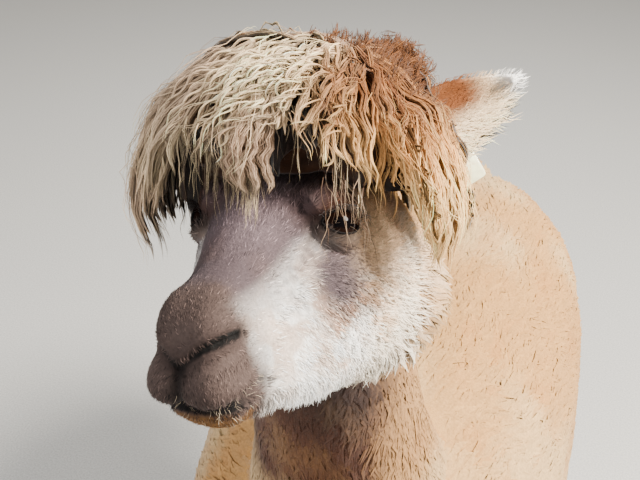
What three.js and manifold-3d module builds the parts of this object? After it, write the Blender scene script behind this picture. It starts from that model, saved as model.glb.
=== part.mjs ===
// A standing alpaca, life size, in a short fleece with a long uncut topknot.
// Millimetres. +Z is up, the body faces -Y, and +X is the animal's left. It stands on z = 0.
// The flesh is lofted along the spine, the neck and each leg, and parted where a person names its parts.
import * as THREE from "three";
import { mergeVertices } from "three/addons/utils/BufferGeometryUtils.js";
import Module from "manifold-3d";

const wasm = await Module();
wasm.setup();

// ---- Driving dimensions ----
const GAP = 0.3; // clear cut between neighbouring parts
const SLIVER = 0.06; // edges and slivers finer than this are closed up after a cut
const BACK_Z = 905; // top of the back, on the fleece
const BELLY_Z = 468; // lowest line of the belly
const BARREL_HALF = 240; // half the width of the barrel
const FORE_Y = -240; // the fore feet stand here
const HIND_Y = 335; // and the hind feet here
const TRACK_HALF = 96; // each foot's distance from the mid plane
const EYE_LEVEL = V(-15, -432, 1262); // the point midway between the eyes
const NOSE_UP = 19.8; // degrees that the muzzle is raised
const HEAD_TURN = 10.7; // degrees that the head is turned to the animal's right
const HEAD_TILT = 12; // degrees that the left side of the head is raised
const EYE_R = 18; // eyeball
const EYE_AT = V(47, 0, 7); // left eyeball's centre in the head's frame
const SOLE_GROUND = 0; // the soles are flat at this level

function V(x, y, z) {
  return new THREE.Vector3(x, y, z);
}

// ---- Making and cutting solids ----

// A closed three.js geometry as a solid that can be joined and cut.
function solid(geometry) {
  geometry.deleteAttribute("normal");
  geometry.deleteAttribute("uv");
  const merged = mergeVertices(geometry, 1e-3);
  return new wasm.Manifold(
    new wasm.Mesh({
      numProp: 3,
      vertProperties: merged.attributes.position.array,
      triVerts: new Uint32Array(merged.index.array),
    }),
  );
}

// A tube with closed ends through stations [x, y, z, side, over, under]: a centre, the half width
// along `side`, and the reach on the two sides across it. A seventh number is a second half width,
// that of the under side. Its sections lie square to its run, or to `axis` where that is given.
// `square` above 2 fills the section's corners out, and `swell` is added to every reach.
function loft(
  stations,
  { around = 16, fine = 1, side = V(1, 0, 0), axis = null, square = 2, swell = 0 } = {},
) {
  const steps = (stations.length - 1) * fine;
  const line = new THREE.CatmullRomCurve3(stations.map(([x, y, z]) => V(x, y, z)));
  const girth = new THREE.CatmullRomCurve3(
    stations.map(([, , , half, over, under]) => V(half, over, under)),
    false,
    "catmullrom",
    0.5,
  );
  const belly = new THREE.CatmullRomCurve3(
    stations.map(([, , , half, , , lower = half]) => V(lower, 0, 0)),
    false,
    "catmullrom",
    0.5,
  );
  const geometry = new THREE.CylinderGeometry(1, 1, 1, around, steps);
  const at = geometry.attributes.position;
  const bulge = (value) => Math.sign(value) * Math.abs(value) ** (2 / square);
  for (let i = 0; i < at.count; i++) {
    const t = Math.min(1, Math.max(0, at.getY(i) + 0.5));
    const centre = line.getPoint(t);
    const along = axis ? axis.clone() : line.getTangent(t);
    const reach = girth.getPoint(t).addScalar(swell);
    const across = side.clone().addScaledVector(along, -side.dot(along)).normalize();
    const over = across.clone().cross(along);
    const z = at.getZ(i);
    const rise = ((bulge(z) + 1) / 2) ** 2;
    const half = THREE.MathUtils.lerp(belly.getPoint(t).x + swell, reach.x, rise);
    centre.addScaledVector(across, bulge(at.getX(i)) * half);
    centre.addScaledVector(over, bulge(z) * (z > 0 ? reach.y : reach.z));
    at.setXYZ(i, centre.x, centre.y, centre.z);
  }
  return solid(geometry);
}

// The stations of a level loft from rows [y, top, bottom, half width, half width of the under side].
function level(rows, share = 0.5) {
  return rows.map(([y, top, bottom, half, lower = half]) => {
    const middle = bottom + (top - bottom) * share;
    return [0, y, middle, half, top - middle, middle - bottom, lower];
  });
}

// An egg of the given half sizes, turned by Euler angles in degrees.
function egg(centre, half, { turn = [0, 0, 0], around = 16, up = 10, swell = 0 } = {}) {
  const geometry = new THREE.SphereGeometry(1, around, up);
  geometry.scale(...half.map((r) => r + swell));
  geometry.applyMatrix4(
    new THREE.Matrix4().makeRotationFromEuler(
      new THREE.Euler(...turn.map(THREE.MathUtils.degToRad)),
    ),
  );
  geometry.translate(...centre);
  return solid(geometry);
}

function join(solids) {
  return solids.reduce((all, one) => all.add(one));
}

// Everything on the far side of the plane through `point`, in the direction `normal`, kept `clear` of it.
function beyond(point, normal, clear = GAP / 2) {
  const reach = 4000;
  const geometry = new THREE.BoxGeometry(reach, reach, reach);
  geometry.translate(0, 0, reach / 2 + clear);
  geometry.applyQuaternion(
    new THREE.Quaternion().setFromUnitVectors(V(0, 0, 1), normal.clone().normalize()),
  );
  geometry.translate(point.x, point.y, point.z);
  return solid(geometry);
}

// Parts a solid along a plane: [the side that the normal points to, the other side].
function parted(whole, point, normal) {
  return [
    whole.intersect(beyond(point, normal)),
    whole.intersect(beyond(point, normal.clone().negate())),
  ];
}

// The largest piece, without the crumbs and the slivers that a cut may leave.
function main(cut) {
  const whole = cut.decompose().reduce((a, b) => (a.volume() > b.volume() ? a : b));
  return whole.simplify(SLIVER);
}

// ---- The group and its finishes ----
const animal = new THREE.Group();
animal.name = "alpaca";

function finish(color, roughness) {
  return new THREE.MeshStandardMaterial({ color, roughness, metalness: 0, flatShading: true });
}
const FLEECE = finish(0xc79a68, 0.95);
const NECK_FLEECE = finish(0xa87a4c, 0.95);
const FACE = finish(0x9b8779, 0.9);
const JAW_FUR = finish(0xc9b49c, 0.9);
const LOCKS = finish(0xb0855c, 0.85);
const EAR_FUR = finish(0xc08a5a, 0.9);
const EYE = finish(0x0c0806, 0.08);
const PAD = finish(0x3a3430, 0.8);
const HORN = finish(0x2c2723, 0.5);
const TAG = finish(0xeee6b8, 0.4);

function add(name, whole, material) {
  const mesh = whole.getMesh();
  const geometry = new THREE.BufferGeometry();
  geometry.setAttribute("position", new THREE.BufferAttribute(mesh.vertProperties, 3));
  geometry.setIndex(new THREE.BufferAttribute(mesh.triVerts, 1));
  const node = new THREE.Mesh(geometry, material);
  node.name = name;
  animal.add(node);
  return node;
}

// ---- Trunk: breast, barrel, loin and rump ----
// Each row is the distance along the body, the top and bottom lines and the half width.
function trunkForm(swell = 0) {
  const rows = [
    [-362, 770, 650, 62],
    [-352, 810, 604, 110],
    [-328, 844, 560, 152],
    [-284, 876, 518, 188],
    [-220, 896, BELLY_Z + 18, 212],
    [-100, BACK_Z, BELLY_Z, 234],
    [60, BACK_Z - 8, BELLY_Z + 2, BARREL_HALF],
    [200, BACK_Z - 2, BELLY_Z + 26, 236],
    [320, BACK_Z - 4, BELLY_Z + 76, 214],
    [395, 884, 570, 182],
    [442, 853, 612, 144],
    [468, 820, 652, 104],
    [478, 790, 690, 64],
  ];
  return loft(level(rows, 0.46), {
    around: 20,
    axis: V(0, 1, 0),
    square: 2.25,
    swell,
  });
}

// ---- Tail: a short woolly brush that hangs over the buttocks ----
const TAIL_CUT = [V(0, 474, 800), V(0, 1, 0.1)];
function tailForm() {
  return loft(
    [
      [0, 425, 838, 34, 30, 30],
      [0, 472, 826, 46, 34, 34],
      [0, 510, 776, 54, 36, 36],
      [0, 520, 706, 56, 34, 38],
      [0, 514, 640, 44, 28, 30],
      [0, 506, 600, 16, 12, 12],
    ],
    { around: 14 },
  );
}

// ---- Neck ----
function neckForm(swell = 0) {
  return loft(
    [
      [0, -190, 690, 120, 140, 140],
      [0, -236, 780, 120, 124, 130],
      [0, -268, 870, 106, 104, 112],
      [-2, -288, 955, 88, 90, 94],
      [-5, -304, 1035, 80, 80, 84],
      [-9, -320, 1105, 79, 74, 78],
      [-13, -337, 1165, 80, 68, 74],
      [-15, -348, 1212, 68, 58, 66],
      [-15, -352, 1248, 46, 38, 44],
    ],
    { around: 16, swell },
  );
}
const NECK_CUT = [V(0, -262, 866), V(0, -0.6, 0.8)];

// ---- Legs ----
// Rows run up the leg: height, distance from the mid plane, place along the body, then the half
// widths sideways, fore and aft.
const FORE_LEG = [
  [34, 95, -246, 25, 29, 26],
  [72, 95, -244, 28, 30, 30],
  [112, 95, -240, 31, 31, 33],
  [165, 95, -241, 29, 29, 31],
  [262, 96, -243, 32, 32, 33],
  [312, 97, -247, 40, 43, 37],
  [362, 98, -244, 42, 42, 42],
  [452, 104, -238, 54, 54, 60],
  [545, 112, -232, 64, 70, 80],
  [640, 110, -232, 60, 76, 86],
];
const HIND_LEG = [
  [34, 92, 330, 25, 29, 26],
  [72, 92, 340, 28, 30, 30],
  [112, 92, 354, 31, 31, 33],
  [175, 92, 362, 29, 29, 32],
  [275, 93, 376, 31, 32, 36],
  [332, 95, 382, 37, 39, 44],
  [385, 97, 370, 42, 44, 50],
  [465, 101, 330, 54, 64, 66],
  [545, 108, 298, 70, 94, 90],
  [630, 118, 300, 84, 118, 108],
  [720, 112, 312, 80, 112, 96],
];
const LEGS = [
  { name: "fore_left", rows: FORE_LEG, flip: 1, foot: FORE_Y, cuts: [488, 290, 96] },
  { name: "fore_right", rows: FORE_LEG, flip: -1, foot: FORE_Y, cuts: [488, 290, 96] },
  { name: "hind_left", rows: HIND_LEG, flip: 1, foot: HIND_Y, cuts: [556, 322, 96] },
  { name: "hind_right", rows: HIND_LEG, flip: -1, foot: HIND_Y, cuts: [556, 322, 96] },
];
function legForm({ rows, flip }) {
  return loft(
    rows.map(([z, x, y, half, fore, aft]) => [x * flip, y, z, half, fore, aft]),
    { around: 10 },
  );
}

// ---- Feet: two toes on a leathery pad, each with a nail ----
const TOE_OUT = 17; // a toe's centre from the middle of its foot
function toeForm(x, y) {
  return loft(
    [
      [x, y - 60, 9, 8, 9, 12],
      [x, y - 46, 13, 15, 17, 18],
      [x, y - 8, 19, 18, 34, 24],
      [x, y + 24, 18, 17, 30, 22],
      [x, y + 36, 14, 9, 14, 16],
    ],
    { around: 8 },
  );
}
function nailForm(x, y, swell = 0) {
  return loft(
    [
      [x, y - 82, 3, 2, 2, 2],
      [x, y - 66, 9, 8, 7, 8],
      [x, y - 48, 16, 9, 9, 12],
    ],
    { around: 6, swell },
  );
}

// ---- Head, in its own frame: origin midway between the eyes, -Y along the muzzle, +Z up ----
const toHead = new THREE.Matrix4().compose(
  EYE_LEVEL,
  new THREE.Quaternion().setFromEuler(
    new THREE.Euler(
      THREE.MathUtils.degToRad(-NOSE_UP),
      THREE.MathUtils.degToRad(-HEAD_TILT),
      THREE.MathUtils.degToRad(-HEAD_TURN),
      "ZXY",
    ),
  ),
  V(1, 1, 1),
);
function placed(local) {
  return local.transform(toHead.elements);
}

// Muzzle, skull, cheeks and jaw in one. Each row is the place along the muzzle, the top and bottom
// lines, then the half width of the bridge and that of the cheeks.
function headForm(swell = 0) {
  const rows = [
    [-124, -43, -80, 15, 14],
    [-121, -34, -88, 23, 22],
    [-114, -27, -97, 27, 28],
    [-104, -21, -111, 29, 31],
    [-90, -13, -117, 28, 32],
    [-74, -4, -116, 30, 34],
    [-54, 9, -116, 35, 40],
    [-32, 25, -120, 46, 51],
    [-10, 38, -125, 59, 62],
    [20, 49, -129, 66, 71],
    [56, 55, -131, 66, 82],
    [92, 48, -128, 60, 92],
    [122, 30, -114, 52, 97],
    [146, 8, -92, 40, 84],
    [162, -16, -68, 20, 44],
  ];
  return loft(level(rows), { around: 20, axis: V(0, 1, 0), square: 2.7, swell });
}
// The bony rim over an eye.
function browForm(flip, swell = 0) {
  return egg([44 * flip, 2, 27], [20, 30, 13], { turn: [0, 14 * flip, 0], around: 12, up: 7, swell });
}
function nostril(flip) {
  return loft(
    [
      [3 * flip, -128, -69, 5, 2, 2],
      [10 * flip, -125, -61, 6, 3, 3],
      [22 * flip, -118, -53, 6, 3.6, 3.6],
      [32 * flip, -104, -48, 5, 3, 3],
      [35 * flip, -90, -46, 4, 1.5, 1.5],
    ],
    { around: 8, side: V(0, 1, 0) },
  );
}

function eyeball(flip, swell = 0) {
  const centre = [EYE_AT.x * flip, EYE_AT.y, EYE_AT.z];
  return egg(centre, Array(3).fill(EYE_R), { around: 12, up: 7, swell });
}

// ---- Ears: spear shaped cups ----
// An ear runs from its root to its tip, and the opening of the cup faces `front`.
function earFrame(name, root, tip, front) {
  const along = tip.clone().sub(root).normalize();
  const across = front.clone().cross(along).normalize();
  const length = root.distanceTo(tip);
  return { name, root, along, across, front: along.clone().cross(across), length };
}
const EARS = [
  earFrame("left", V(50, 96, 46), V(134, 178, 105), V(0.48, -0.86, 0.14)),
  earFrame("right", V(-50, 96, 46), V(-112, 205, 88), V(-0.7, -0.7, 0.14)),
];
const EAR_SHAPE = [
  [0.14, 29],
  [0.32, 33],
  [0.52, 31],
  [0.72, 22],
  [0.88, 12],
  [0.98, 4],
];
const EAR_DEEP = 13; // half the depth of the cup
function earShell({ root, along, across, front, length }, shape, { scale = 1, shift = 0, swell = 0 }) {
  const rows = shape.map(([share, half]) => {
    const centre = root.clone().addScaledVector(along, share * length).addScaledVector(front, shift);
    return [...centre, half * scale, EAR_DEEP * scale, EAR_DEEP * scale];
  });
  return loft(rows, { around: 10, side: across, swell });
}
function earForm(ear, swell = 0) {
  const whole = earShell(ear, [[-0.12, 20], ...EAR_SHAPE], { swell });
  if (swell) return whole;
  const hollow = [[0.1, 24], ...EAR_SHAPE.slice(0, -1)];
  return whole.subtract(earShell(ear, hollow, { scale: 0.84, shift: 9 }));
}

// ---- Topknot: a crown of matted locks that spills over the brow and both temples ----
function topknotForms() {
  return join([
    egg([2, 66, 70], [106, 96, 74], { around: 18, up: 10 }),
    egg([48, 118, 104], [44, 40, 40], { around: 12, up: 7 }),
    loft(
      [
        [2, 20, 116, 70, 24, 30],
        [3, -28, 96, 76, 22, 24],
        [4, -50, 68, 66, 16, 18],
        [4, -58, 44, 42, 9, 10],
        [4, -58, 26, 20, 4, 5],
      ],
      { around: 12 },
    ),
    loft(
      [
        [50, 56, 100, 64, 30, 30],
        [90, 58, 74, 64, 24, 28],
        [106, 60, 32, 60, 18, 22],
        [110, 62, 0, 50, 13, 20],
        [106, 62, -28, 32, 7, 14],
      ],
      { around: 12, side: V(0, 1, 0) },
    ),
    loft(
      [
        [-46, 30, 100, 62, 30, 30],
        [-78, 22, 78, 60, 24, 26],
        [-92, 14, 40, 54, 17, 20],
        [-97, 10, 10, 44, 12, 16],
        [-95, 6, -14, 28, 6, 12],
      ],
      { around: 12, side: V(0, -1, 0) },
    ),
  ]);
}

// ---- Ear tag: a plain plastic flag on a stud through the lower part of the left ear ----
// In its own frame +X runs to the ear's tip, +Y up across the ear, and +Z to the front of the ear.
const TAG_AT = { along: 47, across: -28, front: -17 };
const TAG_HALF = 19;
const TAG_THICK = 2;
const STUD_UP = 19; // the stud's height over the middle of the tag
const STUD_R = 2.5;
const BUTTON_R = 6;
function toTag({ root, along, across, front }) {
  const place = root
    .clone()
    .addScaledVector(along, TAG_AT.along)
    .addScaledVector(across, TAG_AT.across)
    .addScaledVector(front, TAG_AT.front);
  return new THREE.Matrix4().makeBasis(along, across, front).setPosition(place);
}
function tagForm(swell = 0) {
  const half = TAG_HALF + swell;
  const outline = new THREE.Shape();
  outline.moveTo(-half * 0.5, half * 1.35);
  outline.lineTo(half * 0.5, half * 1.35);
  outline.lineTo(half, half * 0.5);
  outline.lineTo(half, -half * 0.8);
  outline.quadraticCurveTo(half, -half, half * 0.8, -half);
  outline.lineTo(-half * 0.8, -half);
  outline.quadraticCurveTo(-half, -half, -half, -half * 0.8);
  outline.lineTo(-half, half * 0.5);
  outline.closePath();
  const plate = new THREE.ExtrudeGeometry(outline, {
    depth: TAG_THICK + 2 * swell,
    bevelEnabled: false,
    curveSegments: 3,
  });
  plate.translate(0, 0, -TAG_THICK - swell);
  return join([solid(plate), studForm(swell), buttonForm()]).transform(toTag(EARS[0]).elements);
}
function rod(radius, from, to) {
  const geometry = new THREE.CylinderGeometry(radius, radius, to - from, 10);
  geometry.rotateX(Math.PI / 2);
  geometry.translate(0, STUD_UP, (from + to) / 2);
  return solid(geometry);
}
function studForm(swell) {
  return rod(STUD_R + swell, -1, -TAG_AT.front + 2);
}
function buttonForm() {
  return rod(BUTTON_R, -TAG_AT.front + 1, -TAG_AT.front + 3.5);
}

// ---- Putting the animal together ----
const eyes = [eyeball(1), eyeball(-1)];
const sockets = [eyeball(1, GAP), eyeball(-1, GAP)];
const [earLeft, earRight] = EARS.map((ear) => earForm(ear));
const earForms = [earLeft.subtract(tagForm(GAP)), earRight];

// The mouth is a thin cut from the lips back to the corner, and the lower jaw lies under it.
const MOUTH = [V(0, -80, -88), V(0, 0.07, -1)];
const MOUTH_CORNER = [V(0, -78, 0), V(0, -1, 0)];
const MOUTH_OPEN = 1.6;
const chin = headForm()
  .intersect(beyond(...MOUTH, MOUTH_OPEN))
  .intersect(beyond(...MOUTH_CORNER));
const chinSpace = beyond(...MOUTH, -GAP / 2).intersect(beyond(...MOUTH_CORNER, -GAP / 2));

let skull = join([headForm().subtract(chinSpace), browForm(1), browForm(-1), ...earForms]);
skull = skull.subtract(join([...sockets, nostril(1), nostril(-1)]));
const ears = EARS.map((ear) => {
  const cut = ear.root.clone().addScaledVector(ear.along, 20);
  const [blade, rest] = parted(skull, cut, ear.along);
  skull = main(rest);
  return main(blade);
});
const headWorld = placed(skull);

const CLEAR = 2 * GAP; // the topknot's clearance from the flesh that it covers
const coveredHead = [
  headForm(CLEAR),
  browForm(1, CLEAR),
  browForm(-1, CLEAR),
  eyeball(1, CLEAR),
  eyeball(-1, CLEAR),
  ...EARS.map((ear) => earForm(ear, CLEAR)),
  tagForm(CLEAR),
];
const topknot = main(
  placed(topknotForms().subtract(join(coveredHead))).subtract(neckForm(CLEAR)),
);

const HEAD_CUT = [
  V(0, 84, -40).applyMatrix4(toHead),
  V(0, -0.84, 0.55).transformDirection(toHead),
];
const neckWhole = join([neckForm(), headWorld]).subtract(placed(join(sockets)));
const [headCut, neckBelow] = parted(neckWhole, ...HEAD_CUT);
const bodyWhole = join([main(neckBelow), trunkForm()]);
const [neckCut] = parted(bodyWhole, ...NECK_CUT);

add("head", main(headCut), FACE);
add("lower_jaw", placed(main(chin)), JAW_FUR);
add("topknot", topknot, LOCKS);
EARS.forEach((ear, i) => add("ear_" + ear.name, placed(ears[i]), EAR_FUR));
["left", "right"].forEach((name, i) => add("eye_" + name, placed(eyes[i]), EYE));
add("ear_tag", placed(tagForm()), TAG);
add("neck", main(neckCut), NECK_FLEECE);

// The legs leave the trunk at their upper cut; the trunk keeps the shoulders and haunches.
const upper = LEGS.map((leg) => legForm(leg).intersect(beyond(V(0, 0, leg.cuts[0]), V(0, 0, 1))));
const tail = tailForm();
let trunk = join([trunkForm(), ...upper, tail, main(neckBelow)]);
trunk = main(parted(trunk, ...NECK_CUT)[1]);
const [tailCut, trunkCut] = parted(trunk, ...TAIL_CUT);
add("trunk", main(trunkCut), FLEECE);
add("tail", main(tailCut), FLEECE);

for (const leg of LEGS) {
  const [top, knee, pastern] = leg.cuts.map((z) => V(0, 0, z));
  const up = V(0, 0, 1);
  const below = parted(legForm(leg), top, up)[1].subtract(trunkForm(GAP));
  const [thigh, shank] = parted(below, knee, up);
  const [cannon, stub] = parted(shank, pastern, up);
  add("upper_leg_" + leg.name, main(thigh), FLEECE);
  add("lower_leg_" + leg.name, main(cannon), FLEECE);

  const x = TRACK_HALF * leg.flip;
  const toes = [-1, 1].map((side) => toeForm(x + TOE_OUT * side, leg.foot));
  const nails = [-1, 1].map((side) => nailForm(x + TOE_OUT * side, leg.foot));
  const beds = [-1, 1].map((side) => nailForm(x + TOE_OUT * side, leg.foot, GAP));
  const ground = beyond(V(0, 0, SOLE_GROUND - GAP / 2), V(0, 0, 1));
  const foot = join([main(stub), ...toes]).intersect(ground);
  add("foot_" + leg.name, main(foot.subtract(join(beds))), PAD);
  nails.forEach((nail, i) => {
    add(`nail_${leg.name}_${i + 1}`, main(nail.intersect(ground)), HORN);
  });
}

// The origin lies on the ground under the middle of the animal's box.
const box = new THREE.Box3().setFromObject(animal);
const origin = box.getCenter(V(0, 0, 0)).setZ(box.min.z);
animal.children.forEach((node) => node.position.sub(origin));

export default animal;
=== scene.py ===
import math

import bpy
import numpy as np
from mathutils import Matrix, Vector
from mathutils.bvhtree import BVHTree


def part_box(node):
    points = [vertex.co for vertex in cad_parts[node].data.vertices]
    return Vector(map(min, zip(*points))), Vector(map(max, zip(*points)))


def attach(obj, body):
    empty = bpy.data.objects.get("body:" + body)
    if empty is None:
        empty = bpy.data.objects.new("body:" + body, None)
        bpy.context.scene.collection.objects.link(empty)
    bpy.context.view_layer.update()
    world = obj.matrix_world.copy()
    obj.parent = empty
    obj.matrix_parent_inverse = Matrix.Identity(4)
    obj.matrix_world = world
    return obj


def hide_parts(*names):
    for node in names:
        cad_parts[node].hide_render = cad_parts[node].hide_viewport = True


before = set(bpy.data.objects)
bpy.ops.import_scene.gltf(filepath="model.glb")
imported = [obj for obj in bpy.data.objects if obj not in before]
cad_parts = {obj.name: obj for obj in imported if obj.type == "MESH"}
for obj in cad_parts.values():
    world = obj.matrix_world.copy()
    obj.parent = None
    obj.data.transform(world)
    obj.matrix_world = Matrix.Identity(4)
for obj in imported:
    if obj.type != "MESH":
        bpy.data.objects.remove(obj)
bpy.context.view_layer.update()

# ---- The camera ----
# It looks down on the head from the front, a little to the animal's left. The head is turned, raised and
# tilted on the neck, so it has axes of its own, from a point midway between the eyes: +X to the animal's
# left, -Y along the muzzle, +Z up through the forehead.
MM = 0.001
NOSE_UP = 19.8
HEAD_TURN = 10.7
HEAD_TILT = 12.0
EYE_RISE = 7.0
head_turn = (
    Matrix.Rotation(math.radians(-HEAD_TURN), 3, "Z")
    @ Matrix.Rotation(math.radians(-NOSE_UP), 3, "X")
    @ Matrix.Rotation(math.radians(-HEAD_TILT), 3, "Y")
)


def middle(node):
    low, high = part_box(node)
    return (low + high) / 2


between_eyes = (middle("eye_left") + middle("eye_right")) / 2
brow_mid = between_eyes - head_turn @ Vector((0, 0, EYE_RISE * MM))

LOOK_DOWN = math.radians(33)
LOOK_ROUND = math.radians(16.7)
HEAD_RANGE = 0.720
ASIDE = 0.034
BELOW = 0.005
right = Vector((math.cos(LOOK_ROUND), math.sin(LOOK_ROUND), 0))
back = Vector(
    (
        math.sin(LOOK_ROUND) * math.cos(LOOK_DOWN),
        -math.cos(LOOK_ROUND) * math.cos(LOOK_DOWN),
        math.sin(LOOK_DOWN),
    )
)
up = back.cross(right)
camera = bpy.data.objects.new("camera", bpy.data.cameras.new("camera"))
bpy.context.scene.collection.objects.link(camera)
camera.data.lens = 56.25
camera.data.sensor_width = 36
camera.matrix_world = Matrix.Translation(
    brow_mid + ASIDE * right - BELOW * up + HEAD_RANGE * back
) @ Matrix((right, up, back)).transposed().to_4x4()
bpy.context.scene.camera = camera

# ---- The skin: one hide over head, neck, trunk, tail, ears and legs ----
# It is made from the flesh's solids, melted into one surface, thinned out on the body, kept fine on the
# face, and drawn in by the depth of the coat, so that the coat's tips reach the solids' outline.
LEGS = [f"{end}_{side}" for end in ("fore", "hind") for side in ("left", "right")]
FLESH = ["head", "lower_jaw", "neck", "trunk", "tail", "ear_left", "ear_right"]
FLESH += [f"{part}_{leg}" for leg in LEGS for part in ("upper_leg", "lower_leg", "foot")]
VOXEL = 4 * MM
HEAD_REACH = 330
NECK_TOP = 1.13
BELLY_LOW = 0.52
RUMP_BACK = 0.47
HEAD_AXES = np.array(head_turn)
HEAD_AT = np.array(brow_mid)


def to_head(points):
    """The points in the head's own axes, in millimetres."""
    return (points - HEAD_AT) @ HEAD_AXES / MM


def from_head(local):
    """Points in the head's own axes, back in the part's frame."""
    return np.asarray(local, float) * MM @ HEAD_AXES.T + HEAD_AT


def pick(*objects):
    bpy.ops.object.select_all(action="DESELECT")
    for one in objects:
        one.select_set(True)
    bpy.context.view_layer.objects.active = objects[0]


def finish_with(obj, kind, **settings):
    pick(obj)
    modifier = obj.modifiers.new(kind.lower(), kind)
    for key, value in settings.items():
        setattr(modifier, key, value)
    bpy.ops.object.modifier_apply(modifier=modifier.name)


def joined_copy(nodes, name):
    made = []
    for node in nodes:
        piece = bpy.data.objects.new(name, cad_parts[node].data.copy())
        bpy.context.scene.collection.objects.link(piece)
        made.append(piece)
    pick(*made)
    if len(made) > 1:
        bpy.ops.object.join()
    bpy.ops.object.mode_set(mode="EDIT")
    bpy.ops.mesh.select_all(action="SELECT")
    bpy.ops.mesh.remove_doubles(threshold=0.01 * MM)
    bpy.ops.object.mode_set(mode="OBJECT")
    made[0].data.materials.clear()
    return made[0]


def values(items, key, width=3):
    flat = np.empty(len(items) * width)
    items.foreach_get(key, flat)
    return flat.reshape(-1, width)


def place_points(obj, points):
    obj.data.vertices.foreach_set("co", points.ravel())
    obj.data.update()


def ramp(x, low, high):
    t = np.clip((x - low) / (high - low), 0, 1)
    return t * t * (3 - 2 * t)


skin = joined_copy(FLESH + ["eye_left", "eye_right"], "skin")
finish_with(skin, "REMESH", mode="VOXEL", voxel_size=VOXEL)
finish_with(skin, "SMOOTH", factor=0.5, iterations=6)
points = values(skin.data.vertices, "co")
around_head = (np.linalg.norm(to_head(points), axis=1) < HEAD_REACH) & (points[:, 2] > NECK_TOP)
thin_out = skin.vertex_groups.new(name="thin_out")
thin_out.add(np.flatnonzero(~around_head).tolist(), 1.0, "REPLACE")
rounded = skin.vertex_groups.new(name="rounded")
on_body = ~around_head & (points[:, 2] > BELLY_LOW) & (points[:, 1] < RUMP_BACK)
rounded.add(np.flatnonzero(on_body).tolist(), 1.0, "REPLACE")
finish_with(skin, "SMOOTH", factor=0.5, iterations=60, vertex_group="rounded")
finish_with(skin, "DECIMATE", ratio=0.24, vertex_group="thin_out")
skin.vertex_groups.clear()


def refine(chosen):
    centres = values(skin.data.polygons, "center")
    pick(skin)
    bpy.ops.object.mode_set(mode="EDIT")
    bpy.ops.mesh.select_mode(type="FACE")
    bpy.ops.mesh.select_all(action="DESELECT")
    bpy.ops.object.mode_set(mode="OBJECT")
    skin.data.polygons.foreach_set("select", chosen(to_head(centres)))
    bpy.ops.object.mode_set(mode="EDIT")
    bpy.ops.mesh.subdivide(number_cuts=1)
    bpy.ops.object.mode_set(mode="OBJECT")


EYE_AT = np.array([47.0, 0.0, 7.0])
EYE_R = 18.0


NAPE_OUT = np.array([0, -0.837, 0.548])
HEAD_SPAN = 240


def mirrored(q, side):
    """Points as the left side sees them: the right side's are turned over the mid line."""
    return q * [side, 1, 1]


def folded(q):
    """Points of both sides, laid over the left one."""
    return np.abs(q * [1, 0, 0]) + q * [0, 1, 1]


def face_part(q):
    return (q[:, 1] < 60) & (q[:, 2] < 60) & (q[:, 2] > -150) & (np.linalg.norm(q, axis=1) < 190)


def fine_part(q):
    muzzle = (q[:, 1] < -60) & (q[:, 2] < 5) & face_part(q)
    eyes = np.linalg.norm(folded(q) - EYE_AT, axis=1) < 32
    return muzzle | eyes


refine(face_part)
refine(fine_part)


def grain(points, size, seed):
    """Soft grain: a lattice of random values, blended between its corners."""
    lattice = np.random.default_rng(seed).random((32, 32, 32))
    cell = np.floor(points / size).astype(int)
    part = points / size - cell
    part = part * part * (3 - 2 * part)
    total = np.zeros(len(points))
    for corner in np.ndindex(2, 2, 2):
        share = np.prod(np.where(corner, part, 1 - part), axis=1)
        i, j, k = ((cell + corner) % 32).T
        total += share * lattice[i, j, k]
    return total


def head_share(points):
    """1 on the head, fading to 0 a little way down the neck."""
    q = to_head(points)
    over = (q - [0, 96, -50]) @ NAPE_OUT
    return ramp(over, -18, 10) * (np.linalg.norm(q, axis=1) < HEAD_SPAN)


EARS = {
    1: (np.array([50.0, 96, 46]), np.array([134.0, 178, 105]), np.array([0.48, -0.86, 0.14])),
    -1: (np.array([-50.0, 96, 46]), np.array([-112.0, 205, 88]), np.array([-0.7, -0.7, 0.14])),
}


def ear_place(q, side):
    """Share of the way from root to tip, distance across the ear and distance to its front."""
    root, tip, front = EARS[side]
    axis = (tip - root) / np.linalg.norm(tip - root)
    across = np.cross(front, axis)
    across /= np.linalg.norm(across)
    face = np.cross(axis, across)
    out = q - root
    return out @ axis / np.linalg.norm(tip - root), out @ across, out @ face


def in_ear(across, deep):
    return (np.abs(across) < 42) & (np.abs(deep) < 26)


def ear_share(q):
    share = np.zeros(len(q))
    for side in EARS:
        along, across, deep = ear_place(q, side)
        inside = in_ear(across, deep) * (along < 1.15)
        share = np.maximum(share, ramp(along, 0.10, 0.26) * inside)
    return share


def coat_depth(points):
    """How deep the coat lies over the skin, in metres."""
    x, y, z = points.T
    q = to_head(points)
    body = 3.6 - 0.3 * ramp(-z, -0.56, -0.44)
    body -= 1.0 * ramp(-z, -0.34, -0.2)
    body -= 1.8 * ramp(-z, -0.12, -0.07)
    body += 3 * ramp(y, 0.47, 0.5) * ramp(z, 0.55, 0.6)
    cheek = ramp(q[:, 1], -40, 70) * ramp(-q[:, 2], -10, 60)
    face = 1.2 + 5.5 * cheek + 2.5 * ramp(q[:, 2], 25, 50)
    depth = body + (face - body) * head_share(points)
    return (depth + (1.5 - depth) * ear_share(q)) * MM


points = values(skin.data.vertices, "co")
points -= values(skin.data.vertex_normals, "vector") * coat_depth(points)[:, None]
place_points(skin, points)
finish_with(skin, "SMOOTH", factor=0.5, iterations=3)

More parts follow.
